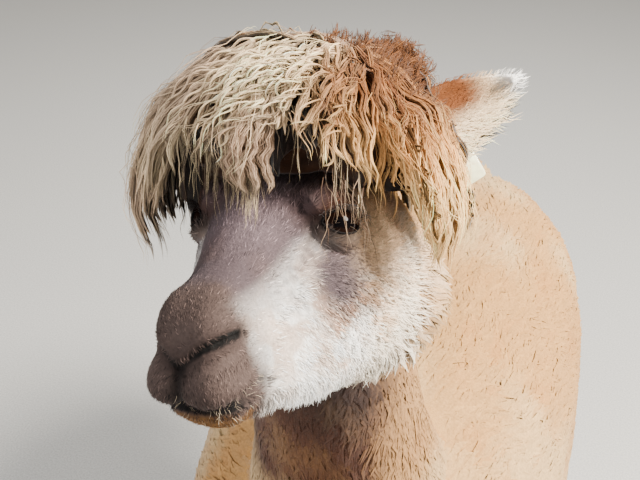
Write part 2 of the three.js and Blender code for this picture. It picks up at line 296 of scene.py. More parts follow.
# ---- The face: nostrils, lips, mouth and eyelids, carved into the skin ----
# Bare or thinly haired skin over the muzzle's bone and gristle. Each feature is a groove or a swelling
# along a line on the face, given as points on the left side, and pressed into the skin's own surface.
MUZZLE_MID = -3.0
NOSTRIL = [
    (35, -95, -44), (30, -101, -46), (27, -112, -47), (20, -122, -50), (13, -125, -53),
    (5, -126, -59), (-1, -126, -65),
]
PHILTRUM = [(-3, -126, -63), (-4, -126, -72), (-5, -125, -81), (-6, -121, -90)]
MOUTH = [
    (-3, -117, -95), (8, -116, -95.5), (18, -112, -94), (26, -103, -91), (31, -90, -87), (33, -79, -84),
]
UPPER_LIP = [(4, -122, -86), (12, -120, -87), (21, -113, -85), (28, -102, -82), (32, -90, -79)]
LOWER_LIP = [(-3, -112, -102), (10, -110, -102), (20, -104, -100), (27, -94, -96)]
TEAR_LINE = [(44, -22, 8), (40, -34, -6), (36, -50, -22)]
CREST = [(50, -14, -16), (44, -34, -26), (38, -56, -38)]


def off_line(q, line):
    """Distance from a line of points, and how far along it the nearest place is, from 0 to 1."""
    line = np.asarray(line, float)
    best = np.full(len(q), 1e9)
    place = np.zeros(len(q))
    for i, (a, b) in enumerate(zip(line[:-1], line[1:])):
        t = np.clip((q - a) @ (b - a) / ((b - a) @ (b - a)), 0, 1)
        gap = np.linalg.norm(q - a - t[:, None] * (b - a), axis=1)
        closer = gap < best
        best[closer] = gap[closer]
        place[closer] = (i + t[closer]) / (len(line) - 1)
    return best, place


def half_face(q, side):
    """The muzzle's points as its left half sees them."""
    return (q - [MUZZLE_MID, 0, 0]) * [side, 1, 1] + [MUZZLE_MID, 0, 0]


def bump(gap, width):
    return np.exp(-((gap / width) ** 2))


uncarved = values(skin.data.vertices, "co")
q = to_head(uncarved)
n = values(skin.data.vertex_normals, "vector") @ HEAD_AXES
lift = np.zeros(len(q))
for side in (1, -1):
    h = half_face(q, side)
    gap, place = off_line(h, NOSTRIL)
    opening = 1.0 - 0.45 * place
    lift -= 7.5 * bump(gap, 3.4) * opening
    rim = off_line(h, np.array(NOSTRIL) + [0, 2, 7])[0]
    lift += 2.2 * bump(rim, 5.0)
    lift -= 1.6 * bump(off_line(h, np.array(NOSTRIL[2:5]) + [4, 8, -8])[0], 5.0)
    lift += 1.8 * bump(off_line(h, UPPER_LIP)[0], 6.5)
    lift += 5.5 * bump(np.linalg.norm(h - [15, -119, -80], axis=1), 13)
    lift += 4.5 * bump(np.linalg.norm(h - [17, -103, -28], axis=1), 17)
    gap, place = off_line(h, MOUTH)
    lift -= (12.0 - 6.0 * place) * bump(gap, 3.8)
    lift += 1.6 * bump(off_line(h, LOWER_LIP)[0], 4.5)
    m = mirrored(q, side)
    lift -= 2.2 * bump(off_line(m, TEAR_LINE)[0], 7)
    lift += 1.8 * bump(off_line(m, CREST)[0], 9)
lift -= 5.5 * bump(off_line(q, PHILTRUM)[0], 3.2)
lift += 4.0 * bump(np.linalg.norm(q - [-24, -112, -74], axis=1), 15)
q += n * lift[:, None]

# The lids lie on the eyeballs and part in an almond, which looks out to the side and forward.
GAZE = np.array([0.80, -0.52, 0.24])
CORNERS = np.array([15.4, 37.6, -10.2])
LID_HALF = 16.0
LID_RISE = 9.5
LID_FALL = 7.0


def eye_axes():
    gaze = GAZE / np.linalg.norm(GAZE)
    along = CORNERS - gaze * (CORNERS @ gaze)
    along /= np.linalg.norm(along)
    return gaze, along, np.cross(gaze, along)


def almond(u):
    """Upper and lower lid heights at the distance u along the eye."""
    arch = np.clip(1 - (u / LID_HALF) ** 2, 0, 1) ** 0.75
    return LID_RISE * arch, -LID_FALL * arch


gaze, along, over = eye_axes()
for side in (1, -1):
    out = mirrored(q, side) - EYE_AT
    far = np.linalg.norm(out, axis=1)
    ray = out / far[:, None]
    u = np.arcsin(np.clip(ray @ along, -1, 1)) * EYE_R
    v = np.arcsin(np.clip(ray @ over, -1, 1)) * EYE_R
    top, bottom = almond(u)
    outside = np.maximum(np.maximum(v - top, bottom - v), np.abs(u) - LID_HALF)
    facing = ray @ gaze > 0.1
    seat = EYE_R + 1.0 + 2.4 * ramp(outside, 0, 7)
    snug = facing * np.where(outside > 0, bump(outside, 7.5), 1)
    reach = np.where(outside > 0, far + (seat - far) * snug, EYE_R - 5)
    reach = np.where(facing & (outside > 0), np.maximum(reach, np.minimum(seat, far + 9)), reach)
    moved = facing & (far < EYE_R + 22)
    q[moved] = (EYE_AT + ray * reach[:, None])[moved] * [side, 1, 1]
place_points(skin, from_head(q))
skin.data.shade_smooth()

# ---- The markings, the same on skin and coat ----
# The wool's colours: fawn fleece, a browner neck, a taupe bridge, white cheeks with tan flecks, and dark
# skin round the eyes. Painted shade is laid in with them, under the jaw and the topknot, round the eyes, in
# the nostrils, mouth and philtrum, and painted light on the bridge and temples. They are laid on the skin's
# points, and each hair takes them from its root.
def tint(r, g, b):
    c = np.array([r, g, b]) / 255
    return np.where(c <= 0.04045, c / 12.92, ((c + 0.055) / 1.055) ** 2.4)


FAWN = tint(186, 138, 82)
FAWN_PALE = tint(198, 162, 112)
FAWN_RUST = tint(181, 123, 65)
NECK_BROWN_AND_SHADE = tint(72, 36, 14)
TAUPE = tint(77, 65, 67)
TAUPE_WARM = tint(97, 70, 55)
MUZZLE_GREY = tint(76, 62, 57)
MUZZLE_DARK = tint(39, 28, 25)
BLACK = tint(10, 7, 6)
WHITE = tint(255, 251, 244)
CREAM = tint(250, 226, 192)
TAN = tint(180, 132, 94)
EYE_BROWN = tint(49, 25, 13)
RUST = tint(96, 62, 20)
EAR_CREAM = tint(255, 226, 184)
EAR_RUST = tint(118, 68, 34)
PAD_BROWN = tint(77, 63, 53)
LOCK_DARK = tint(70, 41, 22)


def blend(base, other, share):
    share = np.clip(share, 0, 1)[:, None]
    return base + (other - base) * share


def layered(base, *layers):
    """The base colours under each layer's colour in turn, by its share."""
    for other, share in layers:
        base = blend(base, other, share)
    return base


def blob(q, centre, radii):
    return np.exp(-(((q - centre) / radii) ** 2).sum(axis=1))


# The front of the neck, fading out to its sides: where the brown wool lies in the head's shade.
def on_neck_front(points):
    return ramp(-points[:, 1], 0.22, 0.34) * (1 - 0.8 * ramp(np.abs(points[:, 0] + 0.015), 0.055, 0.085))


def markings(points):
    x, y, z = points.T
    q = to_head(points)
    qx, qy, qz = q.T
    sides = folded(q)
    broad = grain(points, 0.09, 1)
    fine = grain(points, 0.018, 2)
    front = on_neck_front(points)
    neck = ramp(z, 0.86, 0.98) * ramp(-y, 0.0, 0.25)
    jaw_shadow_distance = np.linalg.norm(q - [18, 20, -165], axis=1)
    body = layered(
        np.tile(FAWN, (len(points), 1)),
        (FAWN_PALE, ramp(broad, 0.45, 0.8)),
        (FAWN_RUST, ramp(fine, 0.55, 0.9) * 0.5),
        (FAWN_PALE, 0.6 * ramp(-z, -0.4, -0.1)),
        # The neck's brown front, darkened as painted shade under the head, and darker still as painted
        # shadow under the jaw.
        (NECK_BROWN_AND_SHADE, neck * (0.15 + 0.85 * front) * (0.75 + 0.5 * fine)),
        (EYE_BROWN * 0.45, 0.95 * ramp(-jaw_shadow_distance, -165, -75) * front),
        (PAD_BROWN, ramp(-z, -0.034, -0.02)),
    )

    cheek = ramp(np.abs(qx) - 0.24 * qy, 40, 56) * ramp(-qz, -22, 12)
    cheek = np.maximum(cheek, ramp(qy, -92, -62) * ramp(-qz, 24, 50))
    fleck = ramp(grain(points, 0.022, 3) * 0.6 + grain(points, 0.009, 4) * 0.4, 0.50, 0.64)
    combed_way = np.stack([qx, q @ [0, 0.29, -0.17], q @ [0, 0.5, 0.86]], axis=1) * MM
    streak = ramp(grain(combed_way, 0.0035, 6), 0.35, 0.8)
    lines = ramp(grain(combed_way, 0.0028, 7), 0.45, 0.75)
    middle_cheek = blob(sides, [70, 16, -40], [60, 52, 32])
    face = layered(
        np.tile(TAUPE, (len(points), 1)),
        (TAUPE_WARM, ramp(qz, 34, 60) * 0.8 + 0.2 * ramp(fine, 0.5, 0.9)),
        # A pale patch on the bridge, lightened further as painted light where the fringe's shadow falls.
        (TAUPE * 2.6, 0.9 * blob(q, [4, -48, 20], [34, 36, 20])),
        # Painted shade: dark brown under the front of the topknot.
        (LOCK_DARK, 0.9 * ramp(qz, 48, 68)),
        (WHITE, cheek),
        (TAN, cheek * fleck * (0.55 + 0.7 * ramp(qy, -40, 20)) * ramp(qz, -110, -75)),
        (TAN, cheek * streak * (0.14 + 0.95 * middle_cheek)),
        (CREAM, cheek * 0.6 * ramp(qy, 0, 50)),
        (TAUPE, 0.75 * cheek * lines * blob(sides, [44, -40, -16], [40, 30, 34])),
        # The temple's tan, made lighter as painted light where the locks shade it.
        (TAN * 1.55, blob(sides, [74, 40, 6], [40, 30, 34])),
        (TAN * 0.45, 0.95 * cheek * blob(sides, [72, 24, -48], [30, 13, 9])),
        (TAN * 0.7, 0.8 * cheek * blob(sides, [66, -4, -44], [30, 20, 10]) * ramp(fine, 0.3, 0.6)),
        (MUZZLE_GREY, ramp(-qy - 0.45 * (qz + 60) + 14 * (fine - 0.5), 58, 98)),
    )
    for side in (1, -1):
        h = half_face(q, side)
        m = mirrored(q, side)
        nose, nose_part = off_line(h, NOSTRIL)
        lip, lip_part = off_line(h, MOUTH)
        face = layered(
            face,
            (TAUPE, 1.4 * blob(m, [58, -8, -22], [32, 30, 29])),
            # Painted shade: black in the nostril slits and the gap of the mouth, with darker skin round
            # them.
            (MUZZLE_DARK, 0.8 * bump(nose, 6.5 + 2.0 * nose_part)),
            (BLACK, ramp(-nose / (1.25 - 0.3 * nose_part), -4.6, -3.0)),
            (MUZZLE_DARK, (0.85 - 0.4 * lip_part) * bump(lip, 7)),
            (RUST, 0.85 * ramp(-h[:, 2], 97, 103) * ramp(-h[:, 1], 72, 88)),
            (BLACK, ramp(-lip, -7.0, -5.0) * ramp(-lip_part, -0.85, -0.55)),
            (MUZZLE_DARK, 0.6 * blob(h, [10, -122, -84], [14, 14, 9])),
            # Dark skin round the eye, deepened as painted shade under the fringe: black in the socket and
            # brown above it.
            (EYE_BROWN, 1.5 * blob(m, [54, -6, 20], [28, 26, 20])),
            (BLACK, 1.4 * blob(m, [60, -4, 12], [26, 24, 13])),
            (EYE_BROWN * 1.3, 0.9 * blob(m, [50, -18, 26], [16, 18, 9])),
            # The temple behind the eye in pale cream, painted light where the locks shade it.
            (CREAM * [0.82, 0.7, 0.62], 1.25 * blob(m, [77, 35, -2], [28, 24, 32])),
            (TAUPE * 0.8, 0.9 * blob(m, [46, -28, 32], [20, 18, 14])),
            (EYE_BROWN, 1.2 * blob(m, [56, -12, 27], [14, 22, 7])),
        )
    # Painted shade: black in the cleft of the philtrum.
    face = blend(face, BLACK, 1.1 * bump(off_line(q, PHILTRUM)[0], 5.0))
    ragged = 10 * (grain(points, 0.010, 5) - 0.5)
    on_head = ramp((q - [0, 100, -55]) @ NAPE_OUT + ragged, -5, 3)
    on_head *= np.linalg.norm(q, axis=1) < HEAD_SPAN
    colour = layered(body, (face, on_head), (FAWN, on_head * ramp(qy, 70, 100) * 0.7))
    for side in EARS:
        part, across, deep = ear_place(q, side)
        ear = layered(
            np.tile(EAR_CREAM, (len(points), 1)),
            (EAR_RUST, ramp(across, -13, 5) * ramp(-part, -0.9, -0.62)),
            (EAR_RUST, 0.6 * ramp(-deep, 2, 9) * ramp(-part, -0.86, -0.6)),
            (WHITE, ramp(part, 0.78, 0.9)),
        )
        colour = blend(colour, ear, ramp(part, 0.10, 0.24) * in_ear(across, deep) * (part < 1.15))
    return colour


def paint(mesh, colours):
    layer = mesh.color_attributes.new("coat", "FLOAT_COLOR", "POINT")
    rgba = np.ones((len(mesh.vertices), 4))
    rgba[:, :3] = colours
    layer.data.foreach_set("color", rgba.ravel())


cover = BVHTree.FromPolygons(
    [v.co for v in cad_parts["topknot"].data.vertices],
    [p.vertices[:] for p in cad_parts["topknot"].data.polygons],
)


def under_cover(points):
    """How deep each point lies inside the topknot, in metres; below nothing where it is outside."""
    deep = np.full(len(points), -1.0)
    for i in np.flatnonzero(points[:, 2] > 1.2):
        near, out, _, _ = cover.find_nearest(points[i])
        deep[i] = (near - Vector(points[i])).dot(out)
    return deep


skin_cover = under_cover(uncarved)
skin_colours = markings(uncarved)
# Painted shade: the scalp under the topknot is darkened to the felt's brown.
scalp_shade = ramp(skin_cover, 0.002, 0.012) * (to_head(uncarved)[:, 2] > 24)
skin_colours = blend(skin_colours, LOCK_DARK * 0.8, scalp_shade)
paint(skin.data, skin_colours)


def new_group(name, inputs, outputs):
    """An empty shader node group with the named sockets, and what its two ends offer."""
    group = bpy.data.node_groups.new(name, "ShaderNodeTree")
    for in_out, sockets in (("INPUT", inputs), ("OUTPUT", outputs)):
        for label, kind in sockets:
            group.interface.new_socket(label, in_out=in_out, socket_type="NodeSocket" + kind)
    given = group.nodes.new("NodeGroupInput").outputs
    put_out = group.nodes.new("NodeGroupOutput").inputs
    return group, given, put_out


def noise_and_relief(group, given, detail, distance):
    """The noise that a grain is made of, and the relief that it gives."""
    noise = group.nodes.new("ShaderNodeTexNoise")
    noise.inputs["Detail"].default_value = detail
    relief = group.nodes.new("ShaderNodeBump")
    relief.inputs["Distance"].default_value = distance
    span = group.nodes.new("ShaderNodeMapRange")
    span.inputs["From Min"].default_value = 0.3
    span.inputs["From Max"].default_value = 0.7
    group.links.new(given["Place"], noise.inputs["Vector"])
    group.links.new(given["Scale"], noise.inputs["Scale"])
    group.links.new(given["Relief"], relief.inputs["Strength"])
    group.links.new(noise.outputs["Fac"], relief.inputs["Height"])
    group.links.new(noise.outputs["Fac"], span.inputs["Value"])
    return noise, relief, span


# Hair's grain: the coat's own colour, a little lighter and darker by turns, with a fine relief.
coat_grain, given, put_out = new_group(
    "coat_grain",
    (("Coat", "Color"), ("Place", "Vector"), ("Scale", "Float"), ("Relief", "Float")),
    (("Color", "Color"), ("Normal", "Vector")),
)
noise, relief, span = noise_and_relief(coat_grain, given, 3, 0.001)
span.inputs["To Min"].default_value = 0.82
span.inputs["To Max"].default_value = 1.12
shaded = coat_grain.nodes.new("ShaderNodeVectorMath")
shaded.operation = "MULTIPLY"
coat_grain.links.new(given["Coat"], shaded.inputs[0])
coat_grain.links.new(span.outputs["Result"], shaded.inputs[1])
coat_grain.links.new(shaded.outputs["Vector"], put_out["Color"])
coat_grain.links.new(relief.outputs["Normal"], put_out["Normal"])


def new_material(name, roughness, specular):
    """A material, its nodes, its links and its shader."""
    material = bpy.data.materials.new(name)
    material.use_nodes = True
    nodes, links = material.node_tree.nodes, material.node_tree.links
    shader = nodes["Principled BSDF"]
    shader.inputs["Roughness"].default_value = roughness
    shader.inputs["Specular IOR Level"].default_value = specular
    return material, nodes, links, shader


def coat_colours(nodes):
    """The colours that the mesh's points carry."""
    layer = nodes.new("ShaderNodeAttribute")
    layer.attribute_name = "coat"
    return layer.outputs["Color"]


def use_group(nodes, links, shader, group, size, strength):
    """The group on the object's own coordinates, its colour and relief led to the shader."""
    effect = nodes.new("ShaderNodeGroup")
    effect.node_tree = group
    effect.name = "effect"
    effect.inputs["Scale"].default_value = 1 / size
    effect.inputs["Relief"].default_value = strength
    place = nodes.new("ShaderNodeTexCoord")
    place.name = "place"
    links.new(place.outputs["Object"], effect.inputs["Place"])
    links.new(effect.outputs["Color"], shader.inputs["Base Color"])
    links.new(effect.outputs["Normal"], shader.inputs["Normal"])
    return effect


def coat_material(name, roughness, sheen, size, strength):
    """Hide or hair in the colours of its mesh, with a grain of the given size."""
    material, nodes, links, shader = new_material(name, roughness, 0.15)
    shader.inputs["Sheen Weight"].default_value = sheen
    shader.inputs["Sheen Roughness"].default_value = 0.5
    effect = use_group(nodes, links, shader, coat_grain, size, strength)
    links.new(coat_colours(nodes), effect.inputs["Coat"])
    return material


skin.data.materials.append(coat_material("hide", 0.8, 0.02, 0.002, 0.6))
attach(skin, "root")
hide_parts(*FLESH)

# ---- The eyeballs ----
# Large dark eyes, set deep under the brow: a ball of clear wet tissue with a bulging front, a brown iris
# and a level pupil. Each is a sphere in its socket, turned to look out and forward.
IRIS = tint(22, 11, 7)
PUPIL = tint(6, 5, 6)
IRIS_R = 12.5
eye_wet, eye_nodes, eye_links, eye_shader = new_material("eye_wet", 0.08, 0.05)
eye_links.new(coat_colours(eye_nodes), eye_shader.inputs["Base Color"])


def pointed_to(direction, along):
    """Axes whose Z is `direction` and whose X is `along`, as columns."""
    return np.stack([along, np.cross(direction, along), direction], axis=1)


def settle_eye(piece, local, side, material):
    """The piece's points on its own side of the head, with its material."""
    place_points(piece, from_head(local * [side, 1, 1]))
    if side < 0:
        piece.data.flip_normals()
    piece.data.shade_smooth()
    piece.data.materials.append(material)
    piece.location = (0, 0, 0)
    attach(piece, "root")


def make_eyeball(side, name):
    bpy.ops.mesh.primitive_uv_sphere_add(segments=48, ring_count=32, radius=EYE_R)
    ball = bpy.context.object
    ball.name = "eyeball_" + name
    co = values(ball.data.vertices, "co")
    height = co[:, 2] / EYE_R
    co *= (1 + 0.07 * ramp(height, 0.80, 0.97))[:, None]
    wide = np.hypot(co[:, 0], co[:, 1])
    in_iris = ramp(-wide, -IRIS_R, -IRIS_R + 2) * (height > 0)
    iris = blend(np.tile(IRIS * 0.35, (len(co), 1)), IRIS, in_iris)
    spoke = 0.5 + 0.5 * np.sin(np.arctan2(co[:, 1], co[:, 0]) * 24)
    iris = iris * (0.8 + 0.4 * spoke[:, None])
    slit = ramp(-np.abs(co[:, 1]), -4.2, -3.2) * ramp(-np.abs(co[:, 0]), -9.0, -7.5) * (height > 0)
    paint(ball.data, blend(iris, PUPIL, slit))
    settle_eye(ball, co @ pointed_to(gaze, along).T + EYE_AT, side, eye_wet)
    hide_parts("eye_" + name)


# ---- The eyelids ----
# The dark hairless rims of the lids: a thin roll of skin along the almond opening, close on the eyeball and
# grown into the skin that is drawn over it.
LID_BAR = 0.8
mottle, given, put_out = new_group(
    "mottle",
    (("Dark", "Color"), ("Light", "Color"), ("Place", "Vector"), ("Scale", "Float"), ("Relief", "Float")),
    (("Color", "Color"), ("Normal", "Vector"), ("Mask", "Float")),
)
noise, relief, span = noise_and_relief(mottle, given, 4, 0.0005)
mixed = mottle.nodes.new("ShaderNodeMix")
mixed.data_type = "RGBA"
mottle.links.new(span.outputs["Result"], mixed.inputs["Factor"])
mottle.links.new(given["Dark"], mixed.inputs[6])
mottle.links.new(given["Light"], mixed.inputs[7])
mottle.links.new(mixed.outputs[2], put_out["Color"])
mottle.links.new(relief.outputs["Normal"], put_out["Normal"])
mottle.links.new(noise.outputs["Fac"], put_out["Mask"])


def plain_material(name, colour, roughness, size, strength, coat=0.0, specular=0.5):
    """A smooth surface with a faint mottle in its colour and a fine grain in its relief."""
    material, nodes, links, shader = new_material(name, roughness, specular)
    shader.inputs["Coat Weight"].default_value = coat
    effect = use_group(nodes, links, shader, mottle, size, strength)
    effect.inputs["Dark"].default_value = (*(np.array(colour) * 0.82), 1)
    effect.inputs["Light"].default_value = (*np.minimum(np.array(colour) * 1.12, 1), 1)
    return material


lid_hide = plain_material("lid_hide", tint(10, 6, 5), 0.8, 0.002, 0.3, specular=0.12)


def on_eye(u, v):
    """The way from the eyeball's middle to the place u along the eye and v over it."""
    return (
        gaze * (np.cos(u / EYE_R) * np.cos(v / EYE_R))[..., None]
        + along * np.sin(u / EYE_R)[..., None]
        + over * np.sin(v / EYE_R)[..., None]
    )


def make_eyelids(side, name):
    bpy.ops.mesh.primitive_torus_add(
        major_segments=72, minor_segments=10, major_radius=1, minor_radius=0.2
    )
    lids = bpy.context.object
    lids.name = "eyelids_" + name
    co = values(lids.data.vertices, "co")
    turn = np.arctan2(co[:, 1], co[:, 0])
    u = LID_HALF * np.cos(turn) * 1.02
    top, bottom = almond(u)
    v = np.where(np.sin(turn) > 0, top, bottom)
    bar = (np.hypot(co[:, 0], co[:, 1]) - 1) / 0.2 * LID_BAR
    rise = co[:, 2] / 0.2 * LID_BAR
    ray = on_eye(u + bar * np.cos(turn), v + bar * np.sin(turn))
    ray /= np.linalg.norm(ray, axis=1)[:, None]
    settle_eye(lids, EYE_AT + ray * (EYE_R + 0.9 + rise)[:, None], side, lid_hide)


for side, name in ((1, "left"), (-1, "right")):
    make_eyeball(side, name)
    make_eyelids(side, name)

# ---- Fleece on the flanks ----
# Alpaca wool, grown to a few centimetres since it was shorn. It stands in soft wedges that overlap back and
# down the barrel. Each tuft here is a flat tapered spike of three sides, rooted in the skin: it takes the
# skin's colour there, and its bake patch lies there on the skin's unwrap.
PATCH = 0.003
TRUNK_TUFTS = 13000
NECK_FOOT = np.array([0, -0.2504, 0.866])
NECK_UP = np.array([0, -0.6, 0.8])
TAIL_ROOT = (0.484, 0.87)
LEG_TOP = 0.50

mesh = skin.data
mesh.calc_loop_triangles()
corner_vertex = values(mesh.loop_triangles, "vertices").astype(int)
corner_loop = values(mesh.loop_triangles, "loops").astype(int)
corner_face = values(mesh.loop_triangles, "polygon_index", 1)[:, 0].astype(int)
skin_points = values(mesh.vertices, "co")
skin_normals = values(mesh.vertex_normals, "vector")
face_centres = values(mesh.polygons, "center")
ear_faces = ear_share(to_head(face_centres)) > 0.5
head_faces = (head_share(face_centres) > 0.5) & ~ear_faces
neck_faces = ((face_centres - NECK_FOOT) @ NECK_UP > 0) & ~head_faces & ~ear_faces
tail_faces = (face_centres[:, 1] > TAIL_ROOT[0]) & (face_centres[:, 2] < TAIL_ROOT[1])
leg_faces = (face_centres[:, 2] < LEG_TOP) & ~tail_faces & (
    (face_centres[:, 2] < 0.45) | (np.abs(face_centres[:, 0]) > 0.04)
)
trunk_faces = ~(ear_faces | head_faces | neck_faces | tail_faces | leg_faces)


def unwrap(chosen):
    """The chosen faces' own unwrap, as a place for every corner of the mesh."""
    layer = mesh.uv_layers.new(name="unwrap")
    pick(skin)
    bpy.ops.object.mode_set(mode="EDIT")
    bpy.ops.mesh.select_mode(type="FACE")
    bpy.ops.mesh.select_all(action="DESELECT")
    bpy.ops.object.mode_set(mode="OBJECT")
    mesh.polygons.foreach_set("select", chosen)
    bpy.ops.object.mode_set(mode="EDIT")
    bpy.ops.uv.smart_project(angle_limit=math.radians(66), island_margin=0.004)
    bpy.ops.object.mode_set(mode="OBJECT")
    places = values(mesh.uv_layers["unwrap"].uv, "vector", 2)
    mesh.uv_layers.remove(mesh.uv_layers["unwrap"])
    return places


def scatter(chosen, count, seed, density=None):
    """Roots spread evenly over the chosen faces: places, normals, colours and unwrap places."""
    rng = np.random.default_rng(seed)
    kept = np.flatnonzero(chosen[corner_face])
    a, b, c = (skin_points[corner_vertex[kept, k]] for k in range(3))
    area = np.linalg.norm(np.cross(b - a, c - a), axis=1)
    if density is not None:
        area = area * density((a + b + c) / 3)
    edges = np.cumsum(area)
    tries = 7 * count
    spot = (np.arange(tries) + rng.random(tries)) / tries * edges[-1]
    tri = kept[np.minimum(np.searchsorted(edges, spot), len(kept) - 1)]
    s, t = np.sqrt(rng.random(tries)), rng.random(tries)
    shares = np.stack([1 - s, s * (1 - t), s * t], axis=1)[:, :, None]
    root = (skin_points[corner_vertex[tri]] * shares).sum(axis=1)
    order = rng.permutation(tries)
    if density is None:
        cell, step = 0.003, 1.12
        while True:
            spread = np.floor(root[order] / cell).astype(np.int64) @ [1, 4096, 4096 * 4096]
            first = np.unique(spread, return_index=True)[1]
            if len(first) <= count:
                break
            cell *= step
        order = np.sort(order[first])
    else:
        order = np.sort(order[:count])
    root, tri, shares, count = root[order], tri[order], shares[order], len(order)
    normal = (skin_normals[corner_vertex[tri]] * shares).sum(axis=1)
    normal /= np.linalg.norm(normal, axis=1)[:, None]
    colour = (skin_colours[corner_vertex[tri]] * shares).sum(axis=1)
    place = (unwrap(chosen)[corner_loop[tri]] * shares).sum(axis=1)
    return root, normal, colour, place, rng


def unit(v):
    return v / np.maximum(np.linalg.norm(v, axis=-1), 1e-12)[..., None]


def lie(points, normals, rng, wander=0.3):
    """The way the hair runs: back over the face, down the neck and legs, back on the trunk."""
    x, y, z = points.T
    q = to_head(points)
    qx, qy, qz = q.T
    back_share = ramp(-z, -0.62, -0.48)
    way = np.stack([0 * x, 0.9 - 0.75 * back_share, -0.45 - 0.55 * back_share], axis=1)
    face = np.tile([0.0, 1.0, 0.12], (len(q), 1))
    way = layered(
        way,
        (np.array([0, 0.12, -1.0]), ramp((points - NECK_FOOT) @ NECK_UP, -0.06, 0.05)),
        (np.array([0, 0.1, -1.0]), ramp(y, 0.48, 0.5) * ramp(-z, -0.88, -0.8)),
    )
    down = np.stack([0.5 * np.sign(qx - MUZZLE_MID), 0.25 + 0 * x, -0.9 + 0 * x], axis=1)
    face = layered(
        face,
        (np.array([0, 0.85, -0.55]), ramp(-qz, -5, 60) * ramp(qy, -90, -40)),
        (np.array([0, 0.35, -0.95]), ramp(-qz, 84, 104)),
        (down, ramp(-qy, 88, 104) * ramp(-qz, 52, 62)),
    )
    for side, (root, tip, front) in EARS.items():
        part, across, deep = ear_place(q, side)
        lower = np.cross(front, unit(tip - root)) * -1.0
        along_ear = unit(tip - root) + 0.75 * unit(lower) * ramp(-across, -6, 14)[:, None]
        face = blend(face, along_ear, ramp(part, 0.08, 0.2) * in_ear(across, deep))
    share = np.maximum(head_share(points), ear_share(q))
    way += (face @ HEAD_AXES.T - way) * share[:, None]
    for size, part, seed in ((0.07, 1.0, 11), (0.018, 0.8, 21)):
        drift = np.stack([grain(points, size, seed + k) - 0.5 for k in range(3)], axis=1)
        way = unit(way) + 2 * wander * part * drift
    way = unit(way) + rng.normal(0, 0.5 * wander, way.shape)
    way -= normals * (way * normals).sum(axis=1)[:, None]
    return unit(way)


def spikes(name, spine, across, upward, width, thick, colours, places, soft, round_off=0.5, under=0.2):
    """Joined spikes of three sides. `spine` holds each one's points from root to tip, and `soft` the way
    that the coat as a whole faces there, which evens out their shading."""
    count, steps = spine.shape[:2]
    rings = steps - 1
    left = spine[:, :-1] - across[:, :-1] * width[:, :-1, None]
    rightward = spine[:, :-1] + across[:, :-1] * width[:, :-1, None]
    top = spine[:, :-1] + upward[:, :-1] * thick[:, :-1, None]
    body = np.stack([left, rightward, top], axis=2).reshape(count, rings * 3, 3)
    verts = np.concatenate([body, spine[:, -1:]], axis=1)
    per = rings * 3 + 1
    faces = [(0, 1, 2)]
    for ring in range(rings - 1):
        low = ring * 3
        for k, j in ((0, 1), (1, 2), (2, 0)):
            faces += [(low + k, low + 3 + j, low + j), (low + k, low + 3 + k, low + 3 + j)]
    low = (rings - 1) * 3
    faces += [(low + 1, low, per - 1), (low + 2, low + 1, per - 1), (low, low + 2, per - 1)]
    faces = np.array(faces)
    index = (faces[None] + (np.arange(count) * per)[:, None, None]).reshape(-1)
    made = bpy.data.meshes.new(name)
    made.vertices.add(count * per)
    made.vertices.foreach_set("co", verts.ravel())
    made.loops.add(len(index))
    made.loops.foreach_set("vertex_index", index.astype(np.int32))
    made.polygons.add(len(index) // 3)
    made.polygons.foreach_set("loop_start", np.arange(0, len(index), 3, dtype=np.int32))
    made.update(calc_edges=True)
    shades = np.concatenate([np.repeat(colours[:, :-1], 3, axis=1), colours[:, -1:]], axis=1)
    paint(made, np.clip(shades.reshape(-1, 3), 0, 1))
    ring_part = np.append(np.repeat(np.arange(rings), 3), rings) / rings - 0.5
    side_part = np.append(np.tile([-0.4, 0.4, 0.0], rings), 0.0)
    spread = np.stack([side_part, 0.9 * ring_part], axis=1) * PATCH
    uv = (places[:, None] + spread[None]).reshape(-1, 2)
    made.uv_layers.new(name="OFBake").uv.foreach_set("vector", uv[index].astype(np.float32).ravel())
    made.shade_smooth()
    facing = np.stack([upward * under - across, upward * under + across, upward], axis=2)[:, :-1]
    facing = unit(facing) * (1 - round_off) + soft[:, :-1, None] * round_off
    facing = np.concatenate([facing.reshape(count, rings * 3, 3), soft[:, -1:]], axis=1)
    made.normals_split_custom_set_from_vertices(unit(facing).reshape(-1, 3))
    obj = bpy.data.objects.new(name, made)
    bpy.context.scene.collection.objects.link(obj)
    return obj


def spindle(t):
    """A tuft's width from root to tip."""
    return (0.55 + 0.9 * t) * np.sqrt(np.clip(1 - t, 0, 1))


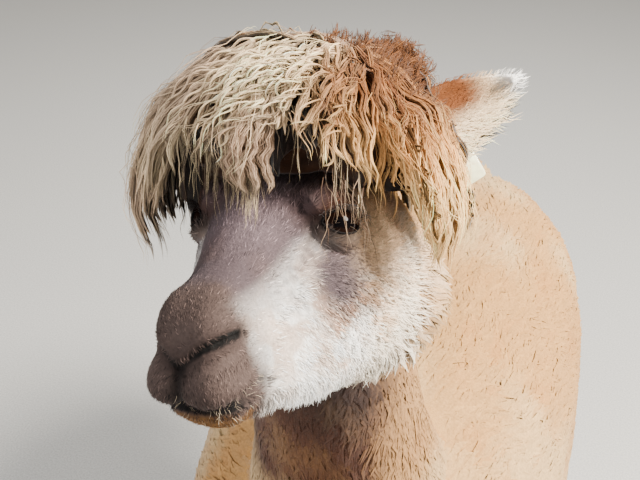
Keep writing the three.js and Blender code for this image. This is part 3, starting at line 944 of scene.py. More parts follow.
def tufts(name, roots, length, width, depth, steps, curl, wander, material,
          painted_shading=(0.9, 1.04), vary=0.06, even=0.72, ridge=0.5):
    """A coat piece: one tuft for each root, of the given length, width and height over the skin."""
    root, normal, colour, place, rng = roots
    count = len(root)
    way = lie(root, normal, rng, wander)
    length = length * rng.uniform(0.75, 1.2, count)
    width = width * rng.uniform(0.7, 1.3, count)
    depth = depth * rng.uniform(0.7, 1.0, count)
    across = unit(np.cross(way, normal))
    t = np.linspace(0, 1, steps)
    rise = 1 - (1 - t) ** 1.7
    swing = rng.normal(0, 1, count)[:, None] * curl * np.sin(t * math.pi * 1.1)[None]
    spine = (
        root[:, None]
        + way[:, None] * (length[:, None] * t)[:, :, None]
        + normal[:, None] * (depth[:, None] * rise - 0.0008)[:, :, None]
        + across[:, None] * (length[:, None] * swing)[:, :, None]
    )
    spine[:, :, 2] = np.maximum(spine[:, :, 2], 0.0006)
    wide = width[:, None] / 2 * spindle(t)[None]
    # Painted shade and light: each tuft darkens towards its root and lightens towards its tip, with a
    # random tone of its own.
    low, high = painted_shading
    painted_shading_and_tone = (low + (high - low) * t)[None] * rng.normal(1, vary, count)[:, None]
    colours = colour[:, None] * painted_shading_and_tone[:, :, None]
    sides = np.repeat(across[:, None], steps, axis=1)
    ups = np.repeat(normal[:, None], steps, axis=1)
    obj = spikes(name, spine, sides, ups, wide, wide * ridge, colours, place, ups, even)
    obj.data.materials.append(material)
    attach(obj, "root")
    return obj


fleece_wool = coat_material("fleece_wool", 0.85, 0.15, 0.003, 0.3)


def depth_of(roots):
    return coat_depth(roots[0])


for side, name in ((1, "left"), (-1, "right")):
    roots = scatter(trunk_faces & (face_centres[:, 0] * side > 0), TRUNK_TUFTS, 100 + side)
    tufts(
        "fleece_" + name, roots, 0.030, 0.0086, depth_of(roots), 3, 0.12, 0.32, fleece_wool,
        (0.95, 1.03), 0.05, 0.88, 0.2,
    )

# ---- Fleece on the neck ----
# The same wool, finer and closer, brown in front, where its colour is darkened as painted shade under the
# head. It hangs straight down the neck in narrow wedges, from behind the jaw to the shoulder.
NECK_TUFTS = 14500
roots = scatter(neck_faces, NECK_TUFTS, 110)
tufts(
    "fleece_neck", roots, 0.028, 0.0058, depth_of(roots), 3, 0.10, 0.30, fleece_wool,
    (0.92, 1.04), 0.06, 0.85, 0.24,
)

# ---- Fleece on the legs ----
# Wool that shortens down each leg to a few millimetres of stiff hair above the foot, where it also stands
# closer. It grows downward all round the limb.
LEG_TUFTS = 7000


def close_below(points):
    z = points[:, 2]
    return 1 + 2.5 * ramp(-z, -0.3, -0.1) * (z > 0.03)


roots = scatter(leg_faces, LEG_TUFTS, 120, close_below)
high = ramp(roots[0][:, 2], 0.1, 0.45)
length, width = 0.007 + 0.014 * high, 0.0018 + 0.0034 * high
tufts("fleece_legs", roots, length, width, depth_of(roots), 3, 0.1, 0.25, fleece_wool)

# ---- Fleece on the tail ----
# Longer, looser wool than on the trunk. It covers the short tail, which is held down, and falls past its
# tip.
TAIL_TUFTS = 2200
roots = scatter(tail_faces, TAIL_TUFTS, 130)
tufts("fleece_tail", roots, 0.042, 0.0055, depth_of(roots), 4, 0.14, 0.3, fleece_wool)

# ---- Hair of the face ----
# Short straight guard hair over muzzle, bridge and chin, taupe with pale hairs between. It lies back from
# the nose, lengthens under the chin, and leaves lips, nostrils and eyeballs bare.
FACE_TUFTS = 16500
PALE_PART = 0.22
face_hair = coat_material("face_hair", 0.75, 0.03, 0.0015, 0.2)


def bare(p):
    """Fewer hairs where the topknot covers the head, none on the eyeballs or in nostrils and mouth."""
    q = to_head(p)
    density = np.ones(len(p))
    density[under_cover(p) > 0.010] = 0.0
    for side in (1, -1):
        m = mirrored(q, side)
        h = half_face(q, side)
        density *= np.linalg.norm(m - EYE_AT, axis=1) > EYE_R + 0.6
        density *= off_line(h, NOSTRIL)[0] > 3.4
        gap, place = off_line(h, MOUTH)
        density *= gap > 6.5 - 4.0 * place
    return density


front_faces = head_faces & (to_head(face_centres)[:, 1] < -10)
rear_faces = head_faces & ~front_faces
roots = scatter(front_faces, FACE_TUFTS, 140, bare)
pale_hair = 1 + 1.1 * (roots[4].random(len(roots[0])) < PALE_PART)
roots = roots[:2] + (roots[2] * pale_hair[:, None],) + roots[3:]
qx, qy, qz = to_head(roots[0]).T
beard = ramp(-qz, 84, 102) * ramp(qy, -90, -60)
length = 0.0055 + 0.003 * ramp(qy, -105, -70) + 0.004 * ramp(-qz, 20, 70) * ramp(qy, -90, -50)
length += 0.008 * beard + 0.006 * ramp(qz, 24, 48)
tufts(
    "hair_face", roots, length, 0.0008 + 0.0003 * beard, depth_of(roots), 3, 0.08, 0.22,
    face_hair, (0.68, 1.2), 0.28, 0.3,
)

# ---- Hair of the cheeks ----
# White and tan hair behind the eye and along the jaw. It is a little coarser than on the muzzle, and grows
# out to a ruff where the head meets the neck.
CHEEK_TUFTS = 9500
roots = scatter(rear_faces, CHEEK_TUFTS, 150, bare)
ruff = ramp(-(to_head(roots[0]) - [0, 100, -55]) @ NAPE_OUT, -26, -4)
tufts(
    "hair_cheeks", roots, 0.010 + 0.012 * ruff, 0.0013, depth_of(roots), 3, 0.12, 0.3,
    face_hair, (0.7, 1.1), 0.13, 0.5,
)

# ---- Hair of the ears ----
# Fine cream hair, rusty along one edge, on a thin blade of gristle. It runs out to the tip, makes a fringe
# at the lower edge, and stands higher but a little shorter in the hollow of the ear.
EAR_TUFTS = 6000
roots = scatter(ear_faces, EAR_TUFTS, 160)
q = to_head(roots[0])
length = np.full(len(q), 0.009)
depth = np.full(len(q), 0.0022)
for side in EARS:
    part, across, deep = ear_place(q, side)
    inside = in_ear(across, deep)
    fringe = ramp(-across, -8, 16) * inside * (part > 0.05)
    hollow = ramp(part, 0.5, 0.7) * ramp(deep, -6, 0) * inside
    length += 0.013 * fringe * ramp(-part, -1.15, -0.75)
    length -= 0.003 * hollow
    depth += 0.003 * fringe + 0.0045 * hollow
tufts("hair_ears", roots, length, 0.0011, depth, 3, 0.16, 0.28, face_hair, (0.9, 1.1), 0.10)

# ---- The felt under the topknot ----
# A dense brown mass of underwool, felted by years of growth without shearing. It grows from the scalp,
# follows the topknot's outline a good way in, and shows as shadow between the locks: its brown is darkened
# as painted shade, to near black at its hem.
HEM_X = [-95, -80, -68, -58, -45, -30, -12, 0, 6, 22, 27, 50, 58, 66, 72, 80, 95, 120]
HEM_Z = [0, 8, 30, 48, 62, 66, 62, 56, 44, 44, 78, 80, 66, 40, 16, 2, -25, -28]
KNOT_HEART = np.array([2.0, 58.0, 62.0])
lock_hair = coat_material("lock_hair", 0.6, 0.1, 0.0012, 0.25)


def tuck(point):
    """How much flatter than the envelope the wool lies by the left ear and behind the crown."""
    x, y, z = point
    return 8.0 * ramp(x, 50, 95) + 9.0 * ramp(y, 60, 105) * ramp(z, 70, 110)


felt = joined_copy(["topknot"], "locks_felt")
finish_with(felt, "REMESH", mode="VOXEL", voxel_size=6 * MM)
finish_with(felt, "SMOOTH", factor=0.5, iterations=4)
felt_points = values(felt.data.vertices, "co")
rough = grain(felt_points, 0.007, 31)
local = to_head(felt_points)
felt_size = 0.76 + 0.06 * rough - 0.003 * tuck(local.T)
local = KNOT_HEART + (local - KNOT_HEART) * felt_size[:, None]
x, y, z = local.T
hem = np.interp(x, HEM_X, HEM_Z) + 28 * rough - 70 * ramp(y, -40, 0)
hem = np.where((x < -60) & (y < 20), np.maximum(hem, 62), hem)
hem = np.where(x > 70, np.maximum(hem, 30), hem)
hem = np.where(y < 40, np.maximum(hem, 0), 34 - 16 * ramp(-x, 20, 50))
local[:, 2] = np.maximum(z, hem)
place_points(felt, from_head(local))
felt.data.shade_smooth()
# Painted shade: the felt's brown is dark throughout, with random darker patches, and near black at its hem.
painted_hem_shade = 0.15 + 0.85 * ramp(local[:, 2] - hem, 1, 16)
paint(felt.data, LOCK_DARK * ((0.25 + 0.7 * rough) * painted_hem_shade)[:, None])
felt.data.materials.append(lock_hair)
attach(felt, "root")
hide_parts("topknot")

# ---- The topknot's layered locks ----
# Blond wool, never shorn, that grows from the crown in ropes of crimped strands. Brown, tangled inner locks
# lie on the felt, a middle layer over them, and long outer ropes fall over brow and cheeks to pale tips.
# The inner and middle layers are darkened as painted shade within the topknot.
LOCK_TAN = tint(190, 156, 127)
LOCK_GOLD = tint(204, 142, 78)
LOCK_CREAM = tint(255, 226, 178)
LOCK_GREY = tint(186, 158, 130)
LOCK_BROWN = tint(98, 54, 28)
LOCK_RUST = tint(98, 56, 14)
LOCK_HONEY = tint(255, 208, 140)
WHORL = np.array([46.0, 44.0, 138.0])
DOWNWARD = np.array([0.0, 0.0, -1.0]) @ HEAD_AXES

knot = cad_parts["topknot"]
knot_points = to_head(values(knot.data.vertices, "co"))
knot_faces = [p.vertices[:] for p in knot.data.polygons]
envelope = BVHTree.FromPolygons([Vector(p) for p in knot_points], knot_faces)
scalp_faces = head_faces.copy()
scalp_faces &= under_cover(face_centres) > 0.004
scalp_places = unwrap(scalp_faces)
scalp_tris = np.flatnonzero(scalp_faces[corner_face])
scalp = BVHTree.FromPolygons(
    [Vector(p) for p in skin_points],
    [tuple(int(v) for v in corner_vertex[k]) for k in scalp_tris],
)


def scalp_place(points):
    """Where each point of the hair sits on the scalp's unwrap."""
    found = []
    for point in points:
        near, _, index, _ = scalp.find_nearest(Vector(point))
        k = scalp_tris[index]
        corners = skin_points[corner_vertex[k]]
        gaps = np.maximum(np.linalg.norm(corners - np.array(near), axis=1), 1e-6)
        share = 1 / gaps / (1 / gaps).sum()
        found.append((scalp_places[corner_loop[k]] * share[:, None]).sum(axis=0))
    return np.array(found)


def lock_path(start, length, rng, pull=1.0, turn=0.0, hem=0.0):
    """A lock's points and outward directions, over the envelope from the whorl and then down."""
    point = np.array(start, dtype=float)
    points, outs = [], []
    way = None
    hang = 0
    ragged = rng.normal(0, 7)
    for _ in range(int(length / 4) + 1):
        if hang == 0:
            near, out, _, _ = envelope.find_nearest(Vector(point))
            point, out = np.array(near), np.array(out)
            point = point - tuck(point) * out
            if out @ DOWNWARD > 0.5 and len(points) > 2:
                hang = 1
        front = point[1] < 18 and abs(point[0]) < 100
        lowest = (np.interp(point[0], HEM_X, HEM_Z) if front else -30) + ragged
        if len(points) > 2 and point[2] < lowest + hem * (1 + 2.5 * ramp(-point[0], 45, 65)):
            break
        if hang:
            hang += 1
            if hang > 8:
                break
            out = outs[-1]
            step = unit(0.55 * way + 0.45 * DOWNWARD)
        else:
            spread = point - WHORL
            far = np.linalg.norm(spread)
            heavy = pull * min(max((far - 30) / 75, 0.05), 1.4)
            step = unit(spread) + heavy * DOWNWARD + turn * np.cross(out, unit(spread))
            step = step - out * (step @ out)
            step = unit(step)
            if way is not None:
                step = unit(0.6 * way + 0.4 * step)
        points.append(point.copy())
        outs.append(out)
        way = step
        point = point + 4.0 * step
    return np.array(points), np.array(outs)


def strands(path, outs, count, rings, half, flat, sink, wave, wave_long, crimp, crimp_long, rng,
            tail=0.25, core=0.0, curl=0.35):
    """One lock's strands: spines, their side and outward directions, the part of the lock at each ring,
    the way the lock swells there, its painted shade and light, and its girth. With a core, the first fills
    the middle."""
    gone = np.concatenate([[0], np.cumsum(np.linalg.norm(np.diff(path, axis=0), axis=1))])
    t = np.linspace(0, 1, rings)
    ends = 1 - tail * rng.random(count) ** 1.5
    ends[0] = 1 - 0.3 * tail if core else ends[0]
    at = t[None] * ends[:, None] * gone[-1]
    line = np.stack([np.interp(at, gone, path[:, k]) for k in range(3)], axis=2)
    out = unit(np.stack([np.interp(at, gone, outs[:, k]) for k in range(3)], axis=2))
    ahead = unit(np.gradient(line, axis=1))
    side = unit(np.cross(ahead, out))
    part = at / gone[-1]
    phase = rng.random() * 6.28
    spot_angle = rng.random(count) * 6.28
    spot = np.sqrt(rng.random(count))
    if core:
        spot[0] = 0.0
    twist = rng.normal(0, 2.2)
    angle = spot_angle[:, None] + twist * part
    narrow = half * (0.55 + 0.6 * np.sin(np.clip(part * 2.2, 0, math.pi)) ** 0.7)
    narrow = narrow * (1 - 0.75 * part ** 2.2)
    beside = spot[:, None] * np.cos(angle)
    above = spot[:, None] * np.sin(angle)
    sideways = beside * narrow
    lifted = above * narrow * flat
    swell = np.clip(part * 4, 0, 1)
    sideways += wave * swell * np.sin(at / wave_long * 6.28 + phase)
    lifted += curl * wave * swell * np.cos(at / wave_long * 6.28 + phase)
    own = rng.normal(0, 0.5, count)[:, None] + phase
    fine_crimp = np.full((count, 1), crimp)
    if core:
        fine_crimp[0] = 0.0
        lifted[0] -= 0.75 * half
    sideways += fine_crimp * swell * np.sin(at / crimp_long * 6.28 + own)
    lifted += fine_crimp * swell * np.cos(at / crimp_long * 6.28 + own)
    sunk = sink[0] + (sink[1] - sink[0]) * np.clip(part * 1.6, 0, 1)
    spine = line + side * sideways[:, :, None] + out * (lifted + sunk)[:, :, None]
    bulge = side * beside[:, :, None] * 1.3 + out * (1.25 + above)[:, :, None]
    # Painted shade and light: a strand is darker towards the lock's sides and underneath, lighter on its
    # crest, and the core darker still.
    painted_shading = 0.62 + 0.43 * ramp(above, -0.7, 0.4) - 0.3 * beside ** 2
    girth = np.ones((count, rings))
    if core:
        painted_shading[0] = 0.5
        girth[0] = core * narrow[0]
    return spine, side, out, part, unit(bulge), painted_shading, girth


def coloured(lock, colour):
    """The lock with its colour, darkened towards its sides as painted shade."""
    return lock[:4] + (colour * lock[5][..., None], lock[4], lock[6])


def lock_colour(points, part, rng, pale_share=1.0):
    """Tan and gold along a lock, cream at its tip, rusty behind the crown and greyer on the right."""
    x, y, z = (points[..., k] for k in range(3))
    gold = ramp(x, 30, 80)[..., None]
    rust = 0.8 * ramp(y, 60, 95) * ramp(z, 70, 110)
    colour = LOCK_TAN + (LOCK_GOLD - LOCK_TAN) * gold
    for other, share in (
        (LOCK_BROWN, 0.95 * ramp(x, 38, 62) * ramp(z, 42, 88) * rng.uniform(0.55, 1.0)),
        (LOCK_GREY, 0.8 * ramp(-x, 0, 50) * ramp(z, 20, 60)),
        (LOCK_RUST, rust),
    ):
        colour = colour + (other - colour) * share[..., None]
    pale = 0.75 * ramp(z, 70, 115) * ramp(-y, -50, 0) * ramp(-x, -65, -40) * ramp(x, -40, 0)
    pale = pale + 0.9 * ramp(part, 0.3, 0.95) * ramp(-z, -130, -40)
    pale = np.maximum(pale, 1.2 * ramp(-z, -70, -5) * ramp(x, 40, 70))
    pale = pale * (1 - 0.7 * ramp(-x, 60, 80) * ramp(-z, -60, -20))
    pale = np.clip(pale, 0, 1) * rng.uniform(0.35, 1.0) * (1 - 0.6 * rust) * pale_share
    cream = LOCK_CREAM + (LOCK_HONEY - LOCK_CREAM) * gold
    colour = colour + (cream - colour) * pale[..., None]
    return colour * rng.normal(1.0, 0.15)


def combed(name, locks, strand_width, layer_shade_and_tone=1.0, replaced="topknot"):
    """One joined piece of all the strands of the given locks."""
    spine, side, out, _, colours, rope, girth = (np.concatenate(field) for field in zip(*locks))
    rng = np.random.default_rng(len(spine))
    t = np.linspace(0, 1, spine.shape[1])
    slim = strand_width / 2 * rng.uniform(0.7, 1.3, len(spine))[:, None]
    core_taper, taper = np.clip((1 - t) * 8, 0, 1) ** 0.5, np.clip((1 - t) * 3.5, 0, 1) ** 0.6
    wide = np.where(girth > 1.001, girth * core_taper, slim * taper)
    colours = colours * layer_shade_and_tone * rng.normal(1, 0.10, len(spine))[:, None, None]
    world = from_head(spine.reshape(-1, 3)).reshape(spine.shape)
    side, out = side @ HEAD_AXES.T, out @ HEAD_AXES.T
    places = scalp_place(world[:, 0])
    crest = ramp(spine[..., 2], 105, 135)[..., None]
    rope = unit(rope @ HEAD_AXES.T + crest * [0, -0.8, 0.9])
    obj = spikes(name, world, side, out, wide * MM, wide * 1.3 * MM, colours, places, rope, 0.42, -0.15)
    obj.data.materials.append(lock_hair)
    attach(obj, "root")
    if replaced:
        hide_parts(replaced)


rng = np.random.default_rng(41)
knot.data.calc_loop_triangles()
tri = values(knot.data.loop_triangles, "vertices").astype(int)
a, b, c = (knot_points[tri[:, k]] for k in range(3))
face_out = np.cross(b - a, c - a)
area = np.linalg.norm(face_out, axis=1)
face_out = face_out / np.maximum(area, 1e-9)[:, None]
middle_of = (a + b + c) / 3
weight = area * (face_out[:, 2] > -0.2) * (0.25 + ramp(middle_of[:, 2], 25, 90))
weight *= middle_of[:, 2] > 12


def starts(count, share=None):
    """Places over the upper part of the envelope, evenly spread, at which locks begin."""
    edges = np.cumsum(weight if share is None else weight * share(middle_of))
    spots = (np.arange(count) + rng.random(count)) / count * edges[-1]
    index = np.minimum(np.searchsorted(edges, spots), len(tri) - 1)
    s, t = np.sqrt(rng.random(count)), rng.random(count)
    return (
        a[index] * (1 - s)[:, None] + b[index] * (s * (1 - t))[:, None] + c[index] * (s * t)[:, None]
    )


def make_locks(places, count, rings, long, half, sink, wave, crimp, tail=0.3, pull=1.0, pale=1.0,
               wave_long=(34, 58), core=0.0, curl=0.35, hem=0.0):
    """Locks that start at the given places, leaving out those that would be too short."""
    made = []
    for start in places:
        length = rng.uniform(*long)
        path, outs = lock_path(start, length, rng, pull * rng.uniform(0.7, 1.3), rng.normal(0, 0.22), hem)
        if len(path) < 5:
            continue
        curly = 0.35 + 0.65 * ramp(path[len(path) // 2][0], -20, 30)
        lock = strands(
            path, outs, count, rings, half * rng.uniform(0.7, 1.2), 0.7, sink,
            wave * rng.uniform(0.6, 1.3) * curly, rng.uniform(*wave_long),
            crimp * rng.uniform(0.6, 1.3) * curly, rng.uniform(13, 18), rng, tail, core, curl,
        )
        made.append(coloured(lock, lock_colour(lock[0], lock[3], rng, pale)))
    return made


def near_crown(p):
    return blob(p, WHORL, [34, 34, 60]) * 4


def from_whorl(p):
    return 0.12 + blob(p, WHORL, [48, 48, 70]) * 3


inner = make_locks(
    starts(110, lambda p: ramp(-p[:, 2], -100, -70)), 9, 7, (50, 90), 7.0, (-18, -12), 1.5, 0.4, hem=12
)
crown = make_locks(starts(60, near_crown), 11, 16, (50, 120), 3.0, (-5, -2), 2.0, 0.5, core=0.8)
middle_layer = make_locks(starts(100), 9, 14, (90, 150), 4.0, (-11, -4), 2.2, 0.5, core=0.8, hem=5)
outer = make_locks(starts(150, from_whorl), 14, 20, (120, 240), 3.3, (-7, -1.5), 2.6, 0.4, core=0.6)
half = len(outer) // 2
# Each piece's colours are scaled: the inner and middle layers darker as painted shade deep in the topknot,
# the tangle and stray hairs paler in tone.
for name, locks, strand_width, layer_shade_and_tone in (
    ("locks_inner", inner, 1.8, 0.55),
    ("locks_middle", middle_layer, 1.0, 0.85),
    ("locks_crown", crown, 0.9, 1.0),
    ("locks_front", outer[:half], 0.85, 1.08),
    ("locks_back", outer[half:], 0.85, 1.08),
):
    combed(name, locks, strand_width, layer_shade_and_tone)

# ---- The ropes beside the left eye ----
# A row of wool ropes that falls from the crown past the outer corner of the left eye. They hang free below,
# one beside the other, from a first line near the brow to a last one by the ear.
BROW_ROPES = 17
BROW_ENDS = np.array([
    [[44, -10, 132], [58, 40, 132]],
    [[54, -34, 112], [80, 22, 114]],
    [[61, -35, 90], [90, 16, 88]],
    [[65, -24, 68], [90, 18, 58]],
    [[68, -12, 46], [84, 26, 4]],
], float)


def swept(ends, t, loose, reach, steps, rounds):
    """One rope's line, the share t of the way from a row's first line to its last, bent a little."""
    line = ends[:, 0] + (ends[:, 1] - ends[:, 0]) * t + rng.normal(0, loose, (5, 3))
    at = np.linspace(0, 4 * rng.uniform(*reach), steps)
    line = np.stack([np.interp(at, range(5), line[:, j]) for j in range(3)], axis=1)
    for _ in range(rounds):
        line[1:-1] = (line[:-2] + line[1:-1] + line[2:]) / 3
    return line


brow = []
for k in range(BROW_ROPES):
    path = swept(BROW_ENDS, k / (BROW_ROPES - 1) + rng.normal(0, 0.02), 2.5, (0.85, 1.05), 22, 1)
    outs, thick = unit(path - [20, 40, 40]), 2.6 * rng.uniform(0.7, 1.2)
    made = strands(path, outs, 15, 22, thick, 0.8, (-5, -1), 2.4, 34, 0.5, 15, rng, 0.3, 0.8)
    brow.append(coloured(made, lock_colour(made[0], made[3], rng, 0.9)))
combed("locks_brow", brow, 0.8)

# ---- The wing on the right ----
# Two rows of long smooth ropes of wool, which sweep out from the crown and hang clear of the face's right
# side, olive and gold towards their tips. The second row lies deeper and is darker, as painted shade.
WING_ROPES = 24
WING_ENDS = np.array([
    [[-8, 6, 140], [0, -30, 130]],
    [[-52, -10, 122], [-34, -54, 100]],
    [[-86, -18, 86], [-58, -58, 68]],
    [[-101, -22, 44], [-74, -52, 42]],
    [[-103, -24, -2], [-84, -46, 14]],
], float)
wing = []
for k in range(2 * WING_ROPES):
    t = min(max(k % WING_ROPES / (WING_ROPES - 1) + rng.normal(0, 0.03), 0), 1)
    path = swept(WING_ENDS, t, 3, (0.78, 1.04), 24, 3)
    outs = unit(path - [0, 30, 50])
    sink = rng.uniform(-5, 0) if k < WING_ROPES else rng.uniform(-16, -8)
    thick = 3.0 * rng.uniform(0.7, 1.2)
    made = strands(path, outs, 14, 18, thick, 0.8, (sink - 4, sink), 1.6, 60, 0.4, 17, rng, 0.35, 0.75)
    hue = lock_colour(made[0], made[3], rng, 0.8)
    # Painted shade: each rope is darker the deeper it lies, most at its root.
    wing.append(coloured(made, hue * (1.0 + 0.045 * sink * (1 - 0.9 * made[3] ** 2))[..., None]))
combed("locks_wing", wing, 0.8)


# ---- The tangle over the brow ----
# Pale sun-bleached wool, rubbed into loose loops that lie crosswise over the front of the topknot. Their
# ends are caught in the locks beneath.
def front_top(p):
    return blob(p, [24, -20, 116], [30, 30, 24]) * 5


loops = make_locks(
    starts(90, front_top), 7, 20, (36, 76), 1.3, (-2, 2.0), 6.0, 0.5, 0.15, 0.6, 1.8, (20, 30), 0.9, 0.8, 3
)
combed("locks_tangle", loops, 0.6, 1.15)

# ---- The matted clump ----
# One broad clump of wool, matted into five touching ropes, which hangs from the tangle over the middle of
# the brow.
CLUMP_LINE = np.array([
    [22, -48, 104], [18, -60, 88], [15, -66, 72], [14, -67, 58], [15, -65, 46], [16, -63, 36.0],
])
clump_out = np.tile([0.1, -0.97, 0.2], (len(CLUMP_LINE), 1))
clumps = []
for across in (-14, -7, 0, 7, 14):
    path = CLUMP_LINE + [across, 0.04 * across ** 2, 0]
    made = strands(path, clump_out, 28, 18, 5.5, 0.9, (-3, 0), 1.4, 24, 1.2, 12, rng, 0.15, 0.7)
    clumps.append(coloured(made, lock_colour(made[0], made[3] * 0.55, rng, 0.7)))
combed("locks_clump", clumps, 0.7, 0.92)


# ---- Stray hairs over the topknot ----
# Single long hairs of the same wool that have worked loose. They wander over the locks and stand a little
# off the outline, their roots among the others.
def stray_hairs(places, long, lift, colour_share):
    made = []
    for start in places:
        path, outs = lock_path(start, rng.uniform(*long), rng, rng.uniform(0.4, 1.2), rng.normal(0, 0.9))
        if len(path) < 5:
            continue
        sink, wave_long = (-2, rng.uniform(*lift)), rng.uniform(50, 90)
        hair = strands(path, outs, 2, 10, 3.0, 0.8, sink, 3.5, wave_long, 0.8, 30, rng)
        made.append(coloured(hair, lock_colour(hair[0], hair[3], rng, colour_share)))
    return made


combed("hairs_stray", stray_hairs(starts(380), (50, 140), (1, 7), 1.6), 0.42, 1.15)

# ---- Hairs fallen over forehead and eye ----
# Loose single hairs that hang from the fringe's edge and lie on the face, pale ones over the forehead and a
# few darker ones past the left eye.
head_tris = np.flatnonzero((head_faces | ear_faces)[corner_face])
face_tree = BVHTree.FromPolygons(
    [Vector(p) for p in to_head(skin_points)],
    [tuple(int(v) for v in corner_vertex[k]) for k in head_tris],
)


def fallen_hair(start, length, way, rng):
    """A loose hair's line down over the face, a little off the skin."""
    point = np.array(start, float)
    points, outs = [], []
    for _ in range(int(length / 4) + 1):
        near, out, _, _ = face_tree.find_nearest(Vector(point))
        near, out = np.array(near), np.array(out)
        off = (point - near) @ out
        if off < 4:
            point = near + 4 * out
        points.append(point.copy())
        outs.append(out)
        way = unit(way + 0.35 * DOWNWARD + rng.normal(0, 0.10, 3))
        point = point + 4 * way
    return np.array(points), np.array(outs)


def lay_hair(hair, hue):
    fallen.append(coloured(hair, np.tile(hue, hair[0].shape[:2] + (1,))))


fallen = []
for k in range(130):
    x = rng.uniform(-40, 70)
    z = np.interp(x, HEM_X, HEM_Z) + rng.uniform(0, 22)
    y = np.interp(x, [-40, 0, 40, 60, 78], [-58, -64, -50, -16, 12])
    long = rng.uniform(22, 62)
    path, outs = fallen_hair((x, y, z), long, unit(rng.normal([0, -0.1, -0.8], [0.35, 0.2, 0.1])), rng)
    hair = strands(path, outs, 2, 14, 1.5, 0.8, (0, 1.5), 1.5, 60, 0.4, 25, rng, 0.4)
    lay_hair(hair, (LOCK_GREY + (LOCK_CREAM - LOCK_GREY) * rng.random()) * rng.uniform(0.35, 0.95))
for k in range(24):
    place = (rng.uniform(52, 74), rng.uniform(-30, 6), rng.uniform(30, 52))
    long = rng.uniform(50, 95)
    path, outs = fallen_hair(place, long, unit(rng.normal([0, 0.1, -0.9], [0.2, 0.35, 0.1])), rng)
    hair = strands(path, outs, 1, 14, 0.5, 0.8, (1, 3), 2.0, 60, 0.4, 25, rng, 0.4)
    lay_hair(hair, LOCK_DARK + (LOCK_GREY - LOCK_DARK) * rng.random())
combed("hairs_fallen", fallen, 0.36)

# ---- Fuzz behind the crown ----
# Short rusty wool where the topknot is youngest, between the crown and the left ear. It stands almost
# upright in small open tufts.
fuzz = []
fuzz_places = starts(760, lambda p: blob(p, [56, 98, 126], [38, 38, 40]) * 5)
for start in fuzz_places:
    near, out, _, _ = envelope.find_nearest(Vector(start))
    out = np.array(out)
    lean = unit(out + rng.normal(0, 0.35, 3) + [0.1, 0.35, 0.25])
    reach = rng.uniform(3, 11) - tuck(near)
    path = np.array(near) + lean * np.linspace(reach - 15, reach, 6)[:, None]
    tuft = strands(path, np.tile(out, (6, 1)), 3, 6, 2.6, 1.0, (0, 0), 1.2, 30, 0.3, 14, rng, 0.5)
    shade_of = (LOCK_RUST + (LOCK_BROWN - LOCK_RUST) * (0.5 * tuft[3])[..., None]) * rng.normal(1.1, 0.2)
    fuzz.append(coloured(tuft, shade_of))
combed("hairs_crown", fuzz, 0.6, 0.95)

# ---- Eyelashes ----
# Stiff dark hairs along the edge of each upper lid, rooted in its rim, which stand out and droop at their
# tips.
lashes = []
for side in (1, -1):
    flip = np.array([side, 1, 1])
    for u in np.linspace(-14, 15, 60):
        u += rng.normal(0, 0.3)
        ray = unit(on_eye(u, almond(u)[0]))
        root = EYE_AT + ray * (EYE_R + 1.5)
        reach = rng.uniform(8, 14)
        out = unit(ray + 0.35 * over + 0.012 * u * along)
        t = np.linspace(0, 1, 6)[:, None]
        path = root + out * reach * t - over * reach * 0.6 * t ** 2
        outs = np.tile(over * flip, (6, 1))
        hair = strands(path * flip, outs, 1, 6, 0.1, 1.0, (0, 0), 0.2, 20, 0.1, 9, rng, 0.2)
        lashes.append(coloured(hair, np.tile(EYE_BROWN, (1, 6, 1))))
combed("eyelashes", lashes, 0.5, 0.8, None)


# ---- Whiskers ----
# Short pale bristles round the mouth and on the chin. They are rooted singly in the lips, and stand out
# from the hair about them.
def round_mouth(p):
    q = to_head(p)
    near = np.zeros(len(p))
    for side in (1, -1):
        h = half_face(q, side)
        gap = np.minimum(off_line(h, MOUTH)[0], off_line(h, LOWER_LIP)[0])
        near = np.maximum(near, ramp(-gap, -14, -7) * (off_line(h, MOUTH)[0] > 3))
    return near


roots = scatter(front_faces, 110, 170, round_mouth)
pale = blend(np.tile(CREAM, (len(roots[0]), 1)), MUZZLE_GREY, roots[4].random(len(roots[0])) * 0.6)
roots = roots[:2] + (pale,) + roots[3:]
tufts("whiskers", roots, 0.007, 0.0002, 0.004, 4, 0.15, 0.5, face_hair, (0.8, 1.0), 0.2, 0.4)

# ---- Ear tag ----
# A blank flag of pale yellow moulded plastic, held by a stud through the lower edge of the left ear, from
# which it hangs. The flag is drawn out past the locks that lie over it.
TAG_AT = (47.0, -28.0, -17.0)
TAG_YELLOW = tint(250, 244, 196)
FLAG_ALONG = 5.0
FLAG_DOWN = 8.0
ear_root, ear_tip, ear_front = EARS[1]
tag_x = unit(ear_tip - ear_root)
tag_y = unit(np.cross(ear_front, tag_x))
tag_z = np.cross(tag_x, tag_y)
tag_home = ear_root + TAG_AT[0] * tag_x + TAG_AT[1] * tag_y + TAG_AT[2] * tag_z
tag = joined_copy(["ear_tag"], "tag_flag")
spot = to_head(values(tag.data.vertices, "co")) - tag_home
flat_x, flat_y, flat_z = spot @ tag_x, spot @ tag_y, spot @ tag_z
hanging = (flat_z < 0.5) & (flat_y < 12)
flat_x = flat_x + FLAG_ALONG * hanging
flat_y = flat_y - FLAG_DOWN * hanging
spot = tag_home + np.outer(flat_x, tag_x) + np.outer(flat_y, tag_y) + np.outer(flat_z, tag_z)
place_points(tag, from_head(spot))
finish_with(tag, "BEVEL", width=0.7 * MM, segments=2, limit_method="ANGLE")
tag.data.shade_smooth()
tag.data.materials.append(plain_material("tag_plastic", TAG_YELLOW, 0.38, 0.006, 0.12, coat=0.2))
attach(tag, "root")
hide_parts("ear_tag")

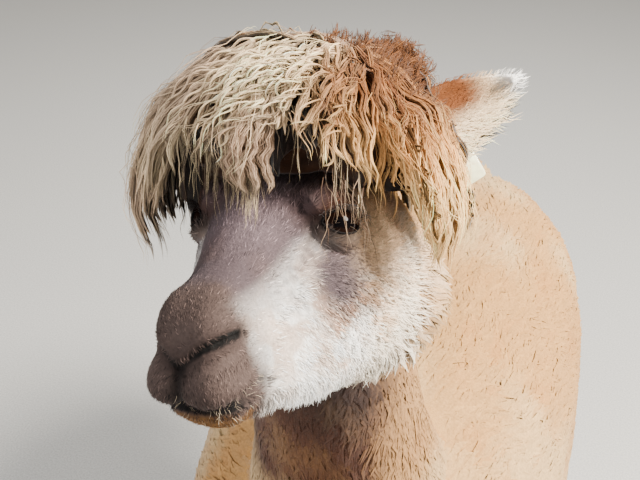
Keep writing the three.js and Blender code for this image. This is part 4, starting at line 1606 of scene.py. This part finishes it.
# ---- Nails ----
# Two curved horn nails on each foot, grey-brown, grown in faint rings along their length out of the toe's
# skin. They keep their own nodes and take a horn's look here.
HORN = tint(72, 58, 48)
HORN_PALE = tint(126, 108, 87)
horn = plain_material("nail_horn", HORN, 0.45, 0.002, 0.4)
horn_nodes, horn_links = horn.node_tree.nodes, horn.node_tree.links
growth = horn_nodes.new("ShaderNodeTexWave")
growth.bands_direction = "Y"
growth.inputs["Scale"].default_value = 90
growth.inputs["Distortion"].default_value = 3
rings = horn_nodes.new("ShaderNodeMath")
rings.operation = "MULTIPLY"
ring_colour = horn_nodes.new("ShaderNodeValToRGB")
for stop, position, colour in zip(ring_colour.color_ramp.elements, (0.3, 0.7), (HORN * 0.82, HORN_PALE)):
    stop.position = position
    stop.color = (*colour, 1)
horn_links.new(horn_nodes["place"].outputs["Object"], growth.inputs["Vector"])
horn_links.new(growth.outputs["Fac"], rings.inputs[0])
horn_links.new(horn_nodes["effect"].outputs["Mask"], rings.inputs[1])
horn_links.new(rings.outputs["Value"], ring_colour.inputs["Fac"])
horn_links.new(ring_colour.outputs["Color"], horn_nodes["Principled BSDF"].inputs["Base Color"])
for leg in LEGS:
    for toe in (1, 2):
        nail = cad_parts[f"nail_{leg}_{toe}"]
        nail.data.materials.clear()
        nail.data.materials.append(horn)

# ---- The studio ----
# A matt pale floor and three soft lights: a warm high key on the animal's left, a weak cool fill in front
# and a rim behind. They only show the part.
bpy.ops.mesh.primitive_plane_add(size=14, location=(0, 0, 0))
floor = bpy.context.object
floor.name = "floor"
floor.data.materials.append(plain_material("studio_floor", tint(206, 204, 199), 0.9, 0.004, 0.0))


def soft_light(name, size, power, place, aim, colour=(1, 1, 1)):
    light = bpy.data.objects.new(name, bpy.data.lights.new(name, "AREA"))
    light.data.shape = "DISK"
    light.data.size = size
    light.data.energy = power
    light.data.color = colour
    light.location = place
    light.rotation_euler = (Vector(aim) - Vector(place)).to_track_quat("-Z", "Y").to_euler()
    bpy.context.scene.collection.objects.link(light)


soft_light("key", 0.9, 345, (2.0, 0.1, 2.7), (0, -0.3, 1.1), (1.0, 0.95, 0.87))
soft_light("fill", 2.4, 76, (-1.2, -2.8, 2.0), (0, -0.3, 1.0), (0.94, 0.97, 1.0))
soft_light("rim", 1.4, 40, (-0.8, 2.4, 2.6), (0, 0, 0.9))
world = bpy.data.worlds.new("studio")
world.use_nodes = True
world.node_tree.nodes["Background"].inputs["Color"].default_value = (1.0, 0.98, 0.95, 1)
world.node_tree.nodes["Background"].inputs["Strength"].default_value = 0.44
bpy.context.scene.world = world
